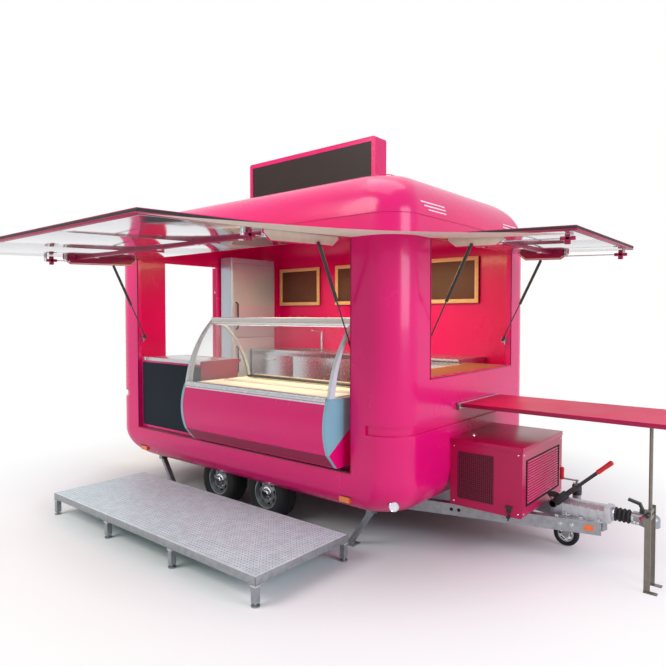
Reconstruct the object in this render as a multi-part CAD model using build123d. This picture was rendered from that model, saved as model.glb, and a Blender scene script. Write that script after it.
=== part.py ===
from build123d import *
import math
import os

# Body shell: X runs forward to the coupling, Y to the left, Z up from the ground
BODY_LENGTH = 3460.0
BODY_WIDTH = 2200.0
WALL = 40.0
CORNER_R = 240.0
SKIRT_BOTTOM = 300.0
SKIRT_R = 300.0
SKIRT_RETURN = 200.0
FLOOR_BOTTOM = 390.0
FLOOR_THICK = 50.0
WAIST_LOW = 913.0
WAIST_HEIGHT = 66.0
WAIST_DEPTH = 18.0
GROOVE_STOP = 130.0
ROOF_SEAM = 2420.0
ROOF_R = 330.0
ROUND_ANGLES = (0.0, 30.0, 60.0, 90.0)

# Openings and the flaps that close them
SERVE_MARGIN = 402.0
SERVE_LOW = 630.0
FRONT_MARGIN = 407.0
FRONT_LOW = 1290.0
FLAP_AXIS_Z = 2290.0
FLAP_THICK = 30.0
FLAP_GAP = 6.0
FLAP_REST_DEG = 88.0
PIVOT_PIN_R = 7.0
PIVOT_PIN_LENGTH = 26.0
RUN_CLEAR = 0.1
SIDE_ARM = (70.0, 780.0, 650.0)
FRONT_ARM = (110.0, 530.0, 380.0)
ARM_THICK = 12.0
ARM_TIP = 22.0
ARM_SLOPE = 62.0
ARM_DEPTH = 82.0
LIGHT_BAR = 46.0

# Gas struts, given from the flap's axis and the opening's edge
STRUT_ANCHOR = 300.0
STRUT_DROP = 70.0
STRUT_FOOT_Z = 1510.0
STRUT_FOOT_IN = 60.0
STRUT_INSET = 42.0
STRUT_R = 12.0
ROD_R = 5.0
ROD_CLEAR = 0.3
STRUT_TUBE = 420.0
EYE_R = 10.0
EYE_THICK = 10.0
EYE_PIN_R = 4.0

# Entrance door in the rear wall
DOOR_Y_LOW = -537.0
DOOR_Y_HIGH = 185.0
DOOR_TOP = 2300.0
DOOR_GAP = 5.0
DOOR_OPEN_DEG = 175.0
HINGE_PIN_R = 6.0
HINGE_OUT = 16.0
HINGE_SIDE = 8.0
HINGE_HEIGHTS = (720.0, 2020.0)
HINGE_STRAP = 34.0

# Running gear
TYRE_R = 226.0
TYRE_WIDTH = 190.0
RIM_R = 130.0
WHEEL_IN = 288.0
AXLE_X = -55.0
AXLE_SPACING = 620.0
AXLE_TUBE = 80.0
AXLE_ARM = 150.0
STUB_R = 20.0
WELL_CLEAR = 22.0
WELL_WALL = 12.0

# Chassis and drawbar
RAIL_FROM_WHEEL = 212.0
RAIL_WIDTH = 60.0
RAIL_HEIGHT = 78.0
RAIL_SHORT = 230.0
MIDDLE_CROSSING = 700.0
OUTRIGGER_SPARE = 17.0
BEAM_HEIGHT = 90.0
BEAM_WIDTH = 60.0
BEAM_ROOT_IN = 830.0
BEAM_ROOT_STEP = 40.0
BEAM_NOSE_OUT = 970.0
BEAM_NOSE_Y = 46.0
COUPLING_OUT = 1260.0
COUPLING_Z = 372.0
BALL_R = 25.0
HOUSING_OUT = 630.0
HOUSING_LENGTH = 400.0
HOUSING_WIDTH = 116.0
SHAFT_R = 25.0

# Jockey wheel beside the left beam
JOCKEY_OUT = 736.0
JOCKEY_Y = 184.0
JOCKEY_TUBE_R = 30.0
JOCKEY_LEG_R = 24.0
JOCKEY_WHEEL_R = 92.0
JOCKEY_WHEEL_WIDTH = 55.0
JOCKEY_TRAIL = 72.0
JOCKEY_FORK_TOP = 202.0
JOCKEY_LEG_LENGTH = 240.0

# Corner steadies
STEADY_SHORT = 414.0
STEADY_IN = 270.0
STEADY_Z = 284.0
STEADY_REACH = 185.0
STEADY_WIDTH = 46.0
STEADY_THICK = 34.0

# Display case that slides out over the serving sill
CASE_LENGTH = 1632.0
CASE_END_GAP = 66.0
CASE_BOTTOM = 662.0
CASE_PAN_TOP = 1110.0
CASE_PROUD = 190.0
CASE_TOE_OUT = 65.0
CASE_CHIN_IN = 40.0
CASE_CHIN_Z = 762.0
CASE_BROW_IN = 42.0
CASE_BACK_IN = 650.0
CASE_RAIL_Z = 1150.0
CASE_TOP_Z = 1715.0
CASE_TOP_IN = 165.0
CASE_HOOD_DEPTH = 160.0
CASE_HOOD_HEIGHT = 62.0
CASE_CHEEK = 28.0
CASE_PANEL = 24.0
CASE_GLASS = 8.0
CASE_RETRACT = 300.0
TUB_ROWS = 2
TUB_COLUMNS = 9
TUB_LID = 14.0
TUB_GAP = 10.0
TUB_SIDE = 12.0
TUB_SUNK = 6.0
TUB_MARGIN = 60.0
CASE_BULGE = 57.0
ARCH_FOOT = 58.0
ARCH_WIDTH = 24.0
ARCH_CROWN = 30.0
ARCH_FOOT_IN = 60.0
ARCH_BULGE = 70.0

# Sign on the roof, cooling box, table, platform
SIGN_LENGTH = 1620.0
SIGN_DEPTH = 170.0
SIGN_HEIGHT = 560.0
SIGN_RIM = 42.0
COOLER_LENGTH = 552.0
COOLER_WIDTH = 800.0
COOLER_LOW = 325.0
COOLER_HEIGHT = 490.0
TABLE_Y_LOW = -300.0
TABLE_Y_HIGH = 360.0
TABLE_TOP = 1070.0
TABLE_THICK = 30.0
TABLE_REACH = 1455.0
TABLE_RAIL = 30.0
TABLE_LEG_OUT = 1300.0
TABLE_LEG_Y = -197.0
TABLE_TUBE_R = 11.0
TABLE_POST_GAP = 70.0
TABLE_POST_TOP = 520.0
TABLE_POST_WIDTH = 36.0
PLATFORM_REAR_SHORT = 468.0
PLATFORM_FRONT_SHORT = 433.0
PLATFORM_DEPTH = 880.0
PLATFORM_UNDER = 13.0
PLATFORM_TOP = 184.5
PLATFORM_PLATE = 6.0
PLATFORM_RAIL = 44.0

# Lamps on the body
MARKER_ENDS_IN = (417.0, 492.0)
MARKER_LENGTH = 90.0
MARKER_HEIGHT = 40.0
MARKER_Z = 415.0
CORNER_LAMP_R = 30.0
CORNER_LAMP_Z = 430.0
LAMP_PROUD = 5.0
TAIL_LAMP_IN = 270.0
TAIL_LAMP_WIDTH = 110.0
TAIL_LAMP_LOW = 640.0
TAIL_LAMP_HEIGHT = 220.0
TAIL_LAMP_PROUD = 12.0

# Fittings inside
COUNTER_TOP = 1320.0
LEDGE_THICK = 30.0
CHALK_THICK = 6.0
CHALK_PROUD = 4.0
CHALK_EDGE = 12.0
KICK_THICK = 40.0
WORKTOP_TOP = 1330.0
WORKTOP_DEPTH = 560.0
WORKTOP_REAR_IN = 250.0
WORKTOP_FRONT_IN = 360.0
BOWL_MARGIN = 475.0
BOWL_LENGTH = 430.0
BOWL_WIDTH = 340.0
BOWL_DEPTH = 160.0
TAP_ROOM = 130.0
TAP_HEIGHT = 210.0
TAP_REACH = 170.0
TAP_R = 14.0
FRIDGE_BACK = 20.0
FRIDGE_STEP = 285.0
FRIDGE_WIDTH = 700.0
FRIDGE_DEPTH = 200.0
FRIDGE_HEIGHT = 1890.0
FRIDGE_FOOT = 80.0
FRIDGE_SEAM = 8.0
BOARD_LOW = 1855.0
BOARD_HEIGHT = 460.0
BOARD_WIDTH = 670.0
BOARD_THICK = 24.0
BOARD_RIM = 40.0
BOARD_ENDS_IN = (580.0, 810.0)
BOARD_MIDDLE = -230.0
CANOPY_THICK = 6.0
CANOPY_GAP = 10.0
SEAT_GAP = 0.3

FLOOR_TOP = FLOOR_BOTTOM + FLOOR_THICK
SKIRT_TOP = SKIRT_BOTTOM + SKIRT_R
WAIST_HIGH = WAIST_LOW + WAIST_HEIGHT
ROOF_TOP = ROOF_SEAM + ROOF_R
HALF_LENGTH = BODY_LENGTH / 2
HALF_WIDTH = BODY_WIDTH / 2
SERVE_HALF = HALF_LENGTH - SERVE_MARGIN
FRONT_HALF = HALF_WIDTH - FRONT_MARGIN
OPENING_TOP = FLAP_AXIS_Z + FLAP_THICK / 2 + FLAP_GAP
SIDE_AXIS_Y = FLAP_THICK / 2 - HALF_WIDTH
FRONT_AXIS_X = HALF_LENGTH - FLAP_THICK / 2
RAIL_LOW = FLOOR_BOTTOM - RAIL_HEIGHT
DOOR_AXIS = (-HALF_LENGTH - HINGE_OUT, DOOR_Y_HIGH + HINGE_SIDE)
HUB_XS = {"front": AXLE_X + AXLE_SPACING / 2, "rear": AXLE_X - AXLE_SPACING / 2}
SIDES = {"right": -1, "left": 1}
WHEEL_Y = HALF_WIDTH - WHEEL_IN
RAIL_Y = WHEEL_Y - RAIL_FROM_WHEEL
RAIL_END = HALF_LENGTH - RAIL_SHORT
BEAM_ROOT = (HALF_LENGTH - BEAM_ROOT_IN, RAIL_Y - BEAM_ROOT_STEP)
BEAM_NOSE = (HALF_LENGTH + BEAM_NOSE_OUT, BEAM_NOSE_Y)
COUPLING_X = HALF_LENGTH + COUPLING_OUT
HOUSING_REAR = HALF_LENGTH + HOUSING_OUT
HOUSING_FRONT = HOUSING_REAR + HOUSING_LENGTH
JOCKEY_X = HALF_LENGTH + JOCKEY_OUT
STEADY_X = HALF_LENGTH - STEADY_SHORT
STEADY_Y = HALF_WIDTH - STEADY_IN
TABLE_END = HALF_LENGTH + TABLE_REACH
TABLE_LEG_X = HALF_LENGTH + TABLE_LEG_OUT
PLATFORM_X_LOW = PLATFORM_REAR_SHORT - HALF_LENGTH
PLATFORM_X_HIGH = HALF_LENGTH - PLATFORM_FRONT_SHORT
PLATFORM_Y_HIGH = PLATFORM_UNDER - HALF_WIDTH
PLATFORM_Y_LOW = PLATFORM_Y_HIGH - PLATFORM_DEPTH
CASE_X_HIGH = SERVE_HALF - CASE_END_GAP
CASE_X_LOW = CASE_X_HIGH - CASE_LENGTH
CASE_FRONT_Y = -HALF_WIDTH - CASE_PROUD
CASE_TOE_Y = -HALF_WIDTH - CASE_TOE_OUT
CASE_BACK_Y = CASE_BACK_IN - HALF_WIDTH
CASE_TOP_Y = CASE_TOP_IN - HALF_WIDTH
WORKTOP_Y = HALF_WIDTH - WALL - WORKTOP_DEPTH
BOARD_CENTRES = (BOARD_ENDS_IN[0] - HALF_LENGTH, BOARD_MIDDLE, HALF_LENGTH - BOARD_ENDS_IN[1])
MARKER_XS = (MARKER_ENDS_IN[0] - HALF_LENGTH, HALF_LENGTH - MARKER_ENDS_IN[1])
TAIL_LAMP_Y = HALF_WIDTH - TAIL_LAMP_IN
FAR = 6000.0


def block(x0, x1, y0, y1, z0, z1):
    """Box between two corners."""
    size = Box(abs(x1 - x0), abs(y1 - y0), abs(z1 - z0))
    return Pos((x0 + x1) / 2, (y0 + y1) / 2, (z0 + z1) / 2) * size


def rod(start, end, radius):
    """Round bar from one point to another."""
    start = Vector(*start)
    along = Vector(*end) - start
    return Plane(start, z_dir=along) * Cylinder(
        radius, along.length, align=(Align.CENTER, Align.CENTER, Align.MIN)
    )


def bar(start, end, width, height):
    """Square bar from one point to another, its height near the vertical."""
    start = Vector(*start)
    along = Vector(*end) - start
    across = Vector(0, 0, 1).cross(along)
    plane = Plane(start, x_dir=across, z_dir=along)
    return plane * Box(width, height, along.length, align=(Align.CENTER, Align.CENTER, Align.MIN))


def together(pieces):
    """Pieces that do not touch, kept as the solids of one node."""
    whole = pieces[0]
    for piece in pieces[1:]:
        whole = whole + piece
    return whole


def plan(inset, z, radius):
    """Rounded rectangle of the body's plan at one height."""
    return Pos(0, 0, z) * RectangleRounded(
        BODY_LENGTH - 2 * inset, BODY_WIDTH - 2 * inset, radius
    )


def upright(offset, z0, z1):
    """Straight stretch of the body, its faces set in by an offset."""
    return extrude(plan(offset, z0, CORNER_R - offset), z1 - z0)


def rounded_end(z_start, direction, round_radius, offset):
    """Quarter-round end of the body: the roof's edge upward, the skirt downward."""
    radius = round_radius - offset
    sections = []
    for angle in ROUND_ANGLES:
        turn = math.radians(angle)
        inset = offset + radius * (1 - math.cos(turn))
        height = z_start + direction * radius * math.sin(turn)
        sections.append(plan(inset, height, CORNER_R - offset))
    return loft(sections)


def body_outer():
    return rounded_end(SKIRT_TOP, -1, SKIRT_R, 0) + upright(0, SKIRT_TOP, ROOF_SEAM)


def body_inner():
    return rounded_end(SKIRT_TOP, -1, SKIRT_R, WALL) + upright(WALL, SKIRT_TOP, ROOF_SEAM)


def slab(z0, z1):
    return block(-FAR, FAR, -FAR, FAR, z0, z1)


def serving_opening():
    return block(-SERVE_HALF, SERVE_HALF, -HALF_WIDTH - 1, -HALF_WIDTH + WALL + 1, SERVE_LOW, OPENING_TOP)


def front_opening():
    return block(HALF_LENGTH - WALL - 1, HALF_LENGTH + 1, -FRONT_HALF, FRONT_HALF, FRONT_LOW, OPENING_TOP)


def doorway(gap):
    y0, y1 = DOOR_Y_LOW + gap, DOOR_Y_HIGH - gap
    return block(-HALF_LENGTH - 1, -HALF_LENGTH + SKIRT_R, y0, y1, FLOOR_TOP + gap, DOOR_TOP - gap)


def wheel_well(side, wall):
    """Space over one side's pair of wheels, grown by a wall."""
    half = AXLE_SPACING / 2 + TYRE_R + WELL_CLEAR + wall
    inner = WHEEL_Y - TYRE_WIDTH / 2 - WELL_CLEAR - wall
    outer = WHEEL_Y + TYRE_WIDTH / 2 + WELL_CLEAR + wall
    top = 2 * TYRE_R + WELL_CLEAR + wall
    return block(AXLE_X - half, AXLE_X + half, side * inner, side * outer, 0, top)


def shell_nodes():
    """Lower tub with floor and waist band, four wall panels and the roof cap."""
    outer = body_outer()
    inner = body_inner()
    cavity = inner & slab(FLOOR_TOP, ROOF_SEAM)
    under = Pos(0, 0, SKIRT_BOTTOM - 1) * extrude(
        RectangleRounded(BODY_LENGTH - 2 * SKIRT_RETURN, BODY_WIDTH - 2 * SKIRT_RETURN, CORNER_R),
        FLOOR_BOTTOM - SKIRT_BOTTOM + 1,
    )
    shell = outer - cavity - under
    lower = shell & slab(0, WAIST_LOW)
    lower += upright(WAIST_DEPTH, WAIST_LOW, WAIST_HIGH) - upright(WALL, WAIST_LOW, WAIST_HIGH)
    stop = SERVE_HALF + GROOVE_STOP
    lower += block(-stop, stop, -HALF_WIDTH, WALL / 2 - HALF_WIDTH, WAIST_LOW, WAIST_HIGH)
    for side in SIDES.values():
        cover = wheel_well(side, WELL_WALL) & slab(FLOOR_TOP, FAR) & inner
        lower = lower + cover - wheel_well(side, 0)
    lower = lower - serving_opening() - doorway(0)
    upper = shell & slab(WAIST_HIGH, ROOF_SEAM)
    corner_x = HALF_LENGTH - CORNER_R
    front = (upper & block(corner_x, FAR, -FAR, FAR, 0, FAR)) - front_opening()
    rear = (upper & block(-FAR, -corner_x, -FAR, FAR, 0, FAR)) - doorway(0)
    lintel = block(-FAR, -corner_x, DOOR_Y_LOW, DOOR_Y_HIGH, DOOR_TOP, FAR)
    middle = upper & block(-corner_x, corner_x, -FAR, FAR, 0, FAR)
    left = middle & block(-FAR, FAR, 0, FAR, 0, FAR)
    right = (middle & block(-FAR, FAR, -FAR, 0, 0, FAR)) - serving_opening()
    roof = rounded_end(ROOF_SEAM, 1, ROOF_R, 0) - rounded_end(ROOF_SEAM, 1, ROOF_R, WALL)
    return {
        "lower_tub": lower,
        "front_wall": front,
        "rear_wall": rear - lintel,
        "rear_lintel": rear & lintel,
        "left_wall": left,
        "right_wall": right,
        "roof": roof,
    }


def sign_nodes():
    """Sign box on the roof: a rounded rim with a dark panel let into each face."""
    low = ROOF_TOP
    recess = 10.0
    box = block(-SIGN_LENGTH / 2, SIGN_LENGTH / 2, -SIGN_DEPTH / 2, SIGN_DEPTH / 2, low, low + SIGN_HEIGHT)
    box = fillet(box.edges().filter_by(Axis.Y), SIGN_RIM / 2)
    panels = []
    for side in SIDES.values():
        face_y = side * SIGN_DEPTH / 2
        panels.append(
            block(
                SIGN_RIM - SIGN_LENGTH / 2,
                SIGN_LENGTH / 2 - SIGN_RIM,
                face_y,
                face_y - side * recess,
                low + SIGN_RIM,
                low + SIGN_HEIGHT - SIGN_RIM,
            )
        )
    for panel in panels:
        box = box - panel
    skins = [Pos(0, -side * 3.0, 0) * panel for side, panel in zip(SIDES.values(), panels)]
    core = SIGN_DEPTH / 2 - recess
    inner = block(-SIGN_LENGTH / 2, SIGN_LENGTH / 2, -core, core, low, FAR)
    skins = [skin - inner for skin in skins]
    return {"sign_frame": box, "sign_panels": skins[0] + skins[1]}


def rotate_open(shape, axis):
    """Swings a flap from its closed place to the open rest."""
    return shape.rotate(axis, -FLAP_REST_DEG)


SIDE_AXIS = Axis((0, SIDE_AXIS_Y, FLAP_AXIS_Z), (1, 0, 0))
FRONT_AXIS = Axis((FRONT_AXIS_X, 0, FLAP_AXIS_Z), (0, 1, 0))


def closed_flap(half, low, arm_span):
    """Flap across a serving side, closed and hanging down from its axis along X."""
    inner_y = SIDE_AXIS_Y + FLAP_THICK / 2
    panel = block(
        FLAP_GAP - half, half - FLAP_GAP, SIDE_AXIS_Y - FLAP_THICK / 2, inner_y, low + FLAP_GAP, FLAP_AXIS_Z
    )
    axis_at = (SIDE_AXIS_Y, FLAP_AXIS_Z)
    edge = rod((FLAP_GAP - half, *axis_at), (half - FLAP_GAP, *axis_at), FLAP_THICK / 2)
    flap = panel + edge
    strut_x = half - STRUT_INSET
    arm_x = strut_x - STRUT_R - 7.0 - ARM_THICK
    anchor = (SIDE_AXIS_Y + STRUT_DROP, FLAP_AXIS_Z - STRUT_ANCHOR)
    depth = inner_y + ARM_DEPTH - FLAP_THICK / 2
    arm_near, arm_far, light_from = arm_span
    profile = Polyline(
        (inner_y, FLAP_AXIS_Z - arm_near),
        (inner_y + ARM_TIP, FLAP_AXIS_Z - arm_near),
        (depth, FLAP_AXIS_Z - arm_near - ARM_SLOPE),
        (depth, FLAP_AXIS_Z - arm_far + ARM_SLOPE),
        (inner_y + ARM_TIP, FLAP_AXIS_Z - arm_far),
        (inner_y, FLAP_AXIS_Z - arm_far),
        close=True,
    )
    arm = extrude(Plane.YZ * make_face(profile), ARM_THICK)
    light_z = FLAP_AXIS_Z - light_from
    light = block(
        -arm_x, arm_x, inner_y, inner_y + LIGHT_BAR / 2, light_z - LIGHT_BAR / 2, light_z + LIGHT_BAR / 2
    )
    flap = flap + light
    for side in SIDES.values():
        place = arm_x if side > 0 else -arm_x - ARM_THICK
        flap = flap + Pos(place, 0, 0) * arm
        pin_root = side * (arm_x + ARM_THICK)
        pin_tip = side * (strut_x + EYE_THICK / 2 + 1.0)
        flap = flap + rod((pin_root, *anchor), (pin_tip, *anchor), EYE_PIN_R)
        end = side * (half - FLAP_GAP)
        flap = flap - rod(
            (end, *axis_at), (end - side * PIVOT_PIN_LENGTH, *axis_at), PIVOT_PIN_R + RUN_CLEAR
        )
    return flap


def to_front(shape):
    """Turns a piece made for the serving side to the front wall."""
    return Pos(HALF_LENGTH - HALF_WIDTH, 0, 0) * shape.rotate(Axis.Z, 90)


def strut_points():
    """Eyes of an open strut in the plane across the serving side."""
    turn = math.radians(-FLAP_REST_DEG)
    y, z = STRUT_DROP, -STRUT_ANCHOR
    top = (
        SIDE_AXIS_Y + y * math.cos(turn) - z * math.sin(turn),
        FLAP_AXIS_Z + y * math.sin(turn) + z * math.cos(turn),
    )
    foot = (STRUT_FOOT_IN - HALF_WIDTH, STRUT_FOOT_Z)
    return top, foot


def strut(x):
    """Cylinder hung on the flap's arm and the rod that runs out of it."""
    top, foot = strut_points()
    start = Vector(x, *top)
    end = Vector(x, *foot)
    along = (end - start).normalized()
    mouth = start + along * STRUT_TUBE
    inside = start + along * (EYE_R + 14.0)
    tube = rod(start + along * (EYE_R + 4.0), mouth, STRUT_R)
    tube = tube + rod(start, start + along * (EYE_R + 8.0), EYE_PIN_R + 1.5)
    tube = tube + rod((x - EYE_THICK / 2, *top), (x + EYE_THICK / 2, *top), EYE_R)
    tube = tube - rod((x - EYE_THICK, *top), (x + EYE_THICK, *top), EYE_PIN_R + RUN_CLEAR)
    tube = tube - rod(inside, mouth + along, ROD_R + ROD_CLEAR)
    stem = rod(mouth - along * 40.0, end - along * (EYE_R - 2.0), ROD_R)
    stem = stem + rod((x - EYE_THICK / 2, *foot), (x + EYE_THICK / 2, *foot), EYE_R)
    stem = stem - rod((x - EYE_THICK, *foot), (x + EYE_THICK, *foot), EYE_PIN_R + 1.0)
    return tube, stem


def strut_bracket(half, side):
    """Plate on the wall's inner face with an ear and a short stud beside the rod's eye."""
    strut_x = half - STRUT_INSET
    foot_y, foot_z = strut_points()[1]
    inner_y = WALL - HALF_WIDTH
    ear_x = strut_x + EYE_THICK / 2 + 8.0
    plate = block(ear_x, half + 55.0, inner_y, inner_y + 9.0, foot_z - 34.0, foot_z + 34.0)
    ear = block(ear_x, ear_x + 9.0, inner_y, foot_y + 14.0, foot_z - 14.0, foot_z + 14.0)
    stud = rod((ear_x, foot_y, foot_z), (ear_x - 6.0, foot_y, foot_z), EYE_PIN_R)
    whole = plate + ear + stud
    return whole if side > 0 else mirror(whole, Plane.YZ)


def flap_pins(half, side):
    end = side * half
    start = side * (half - FLAP_GAP - PIVOT_PIN_LENGTH + 2.0)
    return rod((end, SIDE_AXIS_Y, FLAP_AXIS_Z), (start, SIDE_AXIS_Y, FLAP_AXIS_Z), PIVOT_PIN_R)


def door_bracket(z):
    """Hinge pin on its block, fixed to the rear wall beside the doorway."""
    x, y = DOOR_AXIS
    base = block(x - 8.0, -HALF_LENGTH, y - 4.0, y + 46.0, z - 26.0, z - 2.0)
    pin = rod((x, y, z - 26.0), (x, y, z + HINGE_STRAP), HINGE_PIN_R)
    return base + pin


def flap_nodes():
    """Both flaps, their struts and the fittings that carry them."""
    nodes = {}
    fittings = []
    rows = {
        "side": (SERVE_HALF, SERVE_LOW, SIDE_ARM, lambda shape: shape),
        "front": (FRONT_HALF, FRONT_LOW, FRONT_ARM, to_front),
    }
    for name, (half, low, arm_span, place) in rows.items():
        axis = SIDE_AXIS if name == "side" else FRONT_AXIS
        nodes[name + "_flap"] = rotate_open(place(closed_flap(half, low, arm_span)), axis)
        for end, side in (("a", -1), ("b", 1)):
            tube, stem = strut(side * (half - STRUT_INSET))
            nodes[f"{name}_strut_{end}_cylinder"] = place(tube)
            nodes[f"{name}_strut_{end}_rod"] = place(stem)
            fittings.append(place(strut_bracket(half, side)))
            fittings.append(place(flap_pins(half, side)))
    for z in HINGE_HEIGHTS:
        fittings.append(door_bracket(z))
    nodes["hinge_fittings"] = together(fittings)
    return nodes


def door_node():
    """Entrance door cut from the rear wall's own shape, swung open flat to the wall."""
    leaf = (body_outer() - body_inner()) & doorway(DOOR_GAP)
    x, y = DOOR_AXIS
    for z in HINGE_HEIGHTS:
        foot = block(x, -HALF_LENGTH, DOOR_Y_HIGH - 70.0, DOOR_Y_HIGH - DOOR_GAP, z, z + HINGE_STRAP - 4.0)
        strap = block(x - 6.0, x + 6.0, DOOR_Y_HIGH - 70.0, y, z, z + HINGE_STRAP - 4.0)
        knuckle = rod((x, y, z), (x, y, z + HINGE_STRAP - 4.0), HINGE_PIN_R + 6.0)
        bore = rod((x, y, z - 1.0), (x, y, z + HINGE_STRAP), HINGE_PIN_R + RUN_CLEAR)
        leaf = leaf + foot + strap + knuckle - bore
    handle_y = DOOR_Y_LOW + 70.0
    handle = block(-HALF_LENGTH - 10.0, -HALF_LENGTH, handle_y - 18.0, handle_y + 18.0, 1340.0, 1480.0)
    grip = block(-HALF_LENGTH - 20.0, -HALF_LENGTH - 10.0, handle_y - 12.0, handle_y + 12.0, 1350.0, 1470.0)
    leaf = leaf + handle + grip
    return leaf.rotate(Axis((x, y, 0), (0, 0, 1)), -DOOR_OPEN_DEG)


def wheel(x, side):
    """Tyre ring and dished rim on the stub axle."""
    half = TYRE_WIDTH / 2
    tread = TYRE_R
    shoulder = 26.0
    bead = half - 18.0
    section = Polyline(
        (RIM_R, -bead),
        (RIM_R + 36.0, -half),
        (tread - shoulder, -half),
        (tread - 5.0, -half + shoulder),
        (tread, -half + shoulder + 14.0),
        (tread, half - shoulder - 14.0),
        (tread - 5.0, half - shoulder),
        (tread - shoulder, half),
        (RIM_R + 36.0, half),
        (RIM_R, bead),
        close=True,
    )
    tyre = revolve(Plane.XZ * make_face(section), Axis.Z)
    seat = RIM_R - SEAT_GAP
    dish = Polyline(
        (STUB_R + SEAT_GAP, half - 58.0),
        (STUB_R + SEAT_GAP, half - 10.0),
        (46.0, half - 10.0),
        (52.0, half - 34.0),
        (96.0, half - 22.0),
        (104.0, half - 44.0),
        (seat - 14.0, half - 44.0),
        (seat - 10.0, bead),
        (seat, bead),
        (seat, -bead),
        (seat - 10.0, -bead),
        (seat - 14.0, half - 58.0),
        close=True,
    )
    rim = revolve(Plane.XZ * make_face(dish), Axis.Z)
    vent = Pos(74.0, 0, 0) * Cylinder(11.0, 3 * TYRE_WIDTH)
    rim = rim - [Rot(0, 0, 360.0 * k / 8) * vent for k in range(8)]
    return Pos(x, side * WHEEL_Y, TYRE_R) * Rot(-90 * side, 0, 0) * together([tyre, rim])


def axle(x):
    """Torsion axle tube under the rails, its trailing arms and stubs."""
    reach = WHEEL_Y - TYRE_WIDTH / 2 - 45.0
    tube_x = x + AXLE_ARM
    tube_z = RAIL_LOW - AXLE_TUBE / 2
    half = AXLE_TUBE / 2
    whole = block(tube_x - half, tube_x + half, -reach, reach, tube_z - half, RAIL_LOW)
    for side in SIDES.values():
        y = side * (reach + 14.0)
        arm = bar((tube_x + 20.0, y, tube_z + 6.0), (x - 28.0, y, TYRE_R - 10.0), 28.0, 66.0)
        stub = rod((x, y, TYRE_R), (x, side * (WHEEL_Y + TYRE_WIDTH / 2 - 14.0), TYRE_R), STUB_R)
        whole = whole + arm + stub
    return whole


def chassis_nodes():
    """Rails, cross members and outriggers under the floor, and the two drawbar beams."""
    rail_high = FLOOR_BOTTOM
    frame = None
    for side in SIDES.values():
        rail = block(
            -RAIL_END,
            RAIL_END,
            side * (RAIL_Y - RAIL_WIDTH / 2),
            side * (RAIL_Y + RAIL_WIDTH / 2),
            RAIL_LOW,
            rail_high,
        )
        frame = rail if frame is None else frame + rail
    outrigger = STEADY_Y + STEADY_WIDTH / 2 + OUTRIGGER_SPARE
    crossings = (
        (-STEADY_X, outrigger),
        (-MIDDLE_CROSSING, RAIL_Y),
        (BEAM_ROOT[0], RAIL_Y),
        (STEADY_X, outrigger),
    )
    for x, reach in crossings:
        frame = frame + block(x - RAIL_WIDTH / 2, x + RAIL_WIDTH / 2, -reach, reach, RAIL_LOW, rail_high)
    beams = []
    for side in SIDES.values():
        z = RAIL_LOW - BEAM_HEIGHT / 2
        beams.append(
            bar(
                (BEAM_ROOT[0], side * BEAM_ROOT[1], z),
                (BEAM_NOSE[0], side * BEAM_NOSE[1], z),
                BEAM_WIDTH,
                BEAM_HEIGHT,
            )
        )
    axles = [axle(x) for x in HUB_XS.values()]
    return {
        "chassis_frame": frame,
        "drawbar_beams": beams[0] + beams[1],
        "axles": axles[0] + axles[1],
    }


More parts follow.
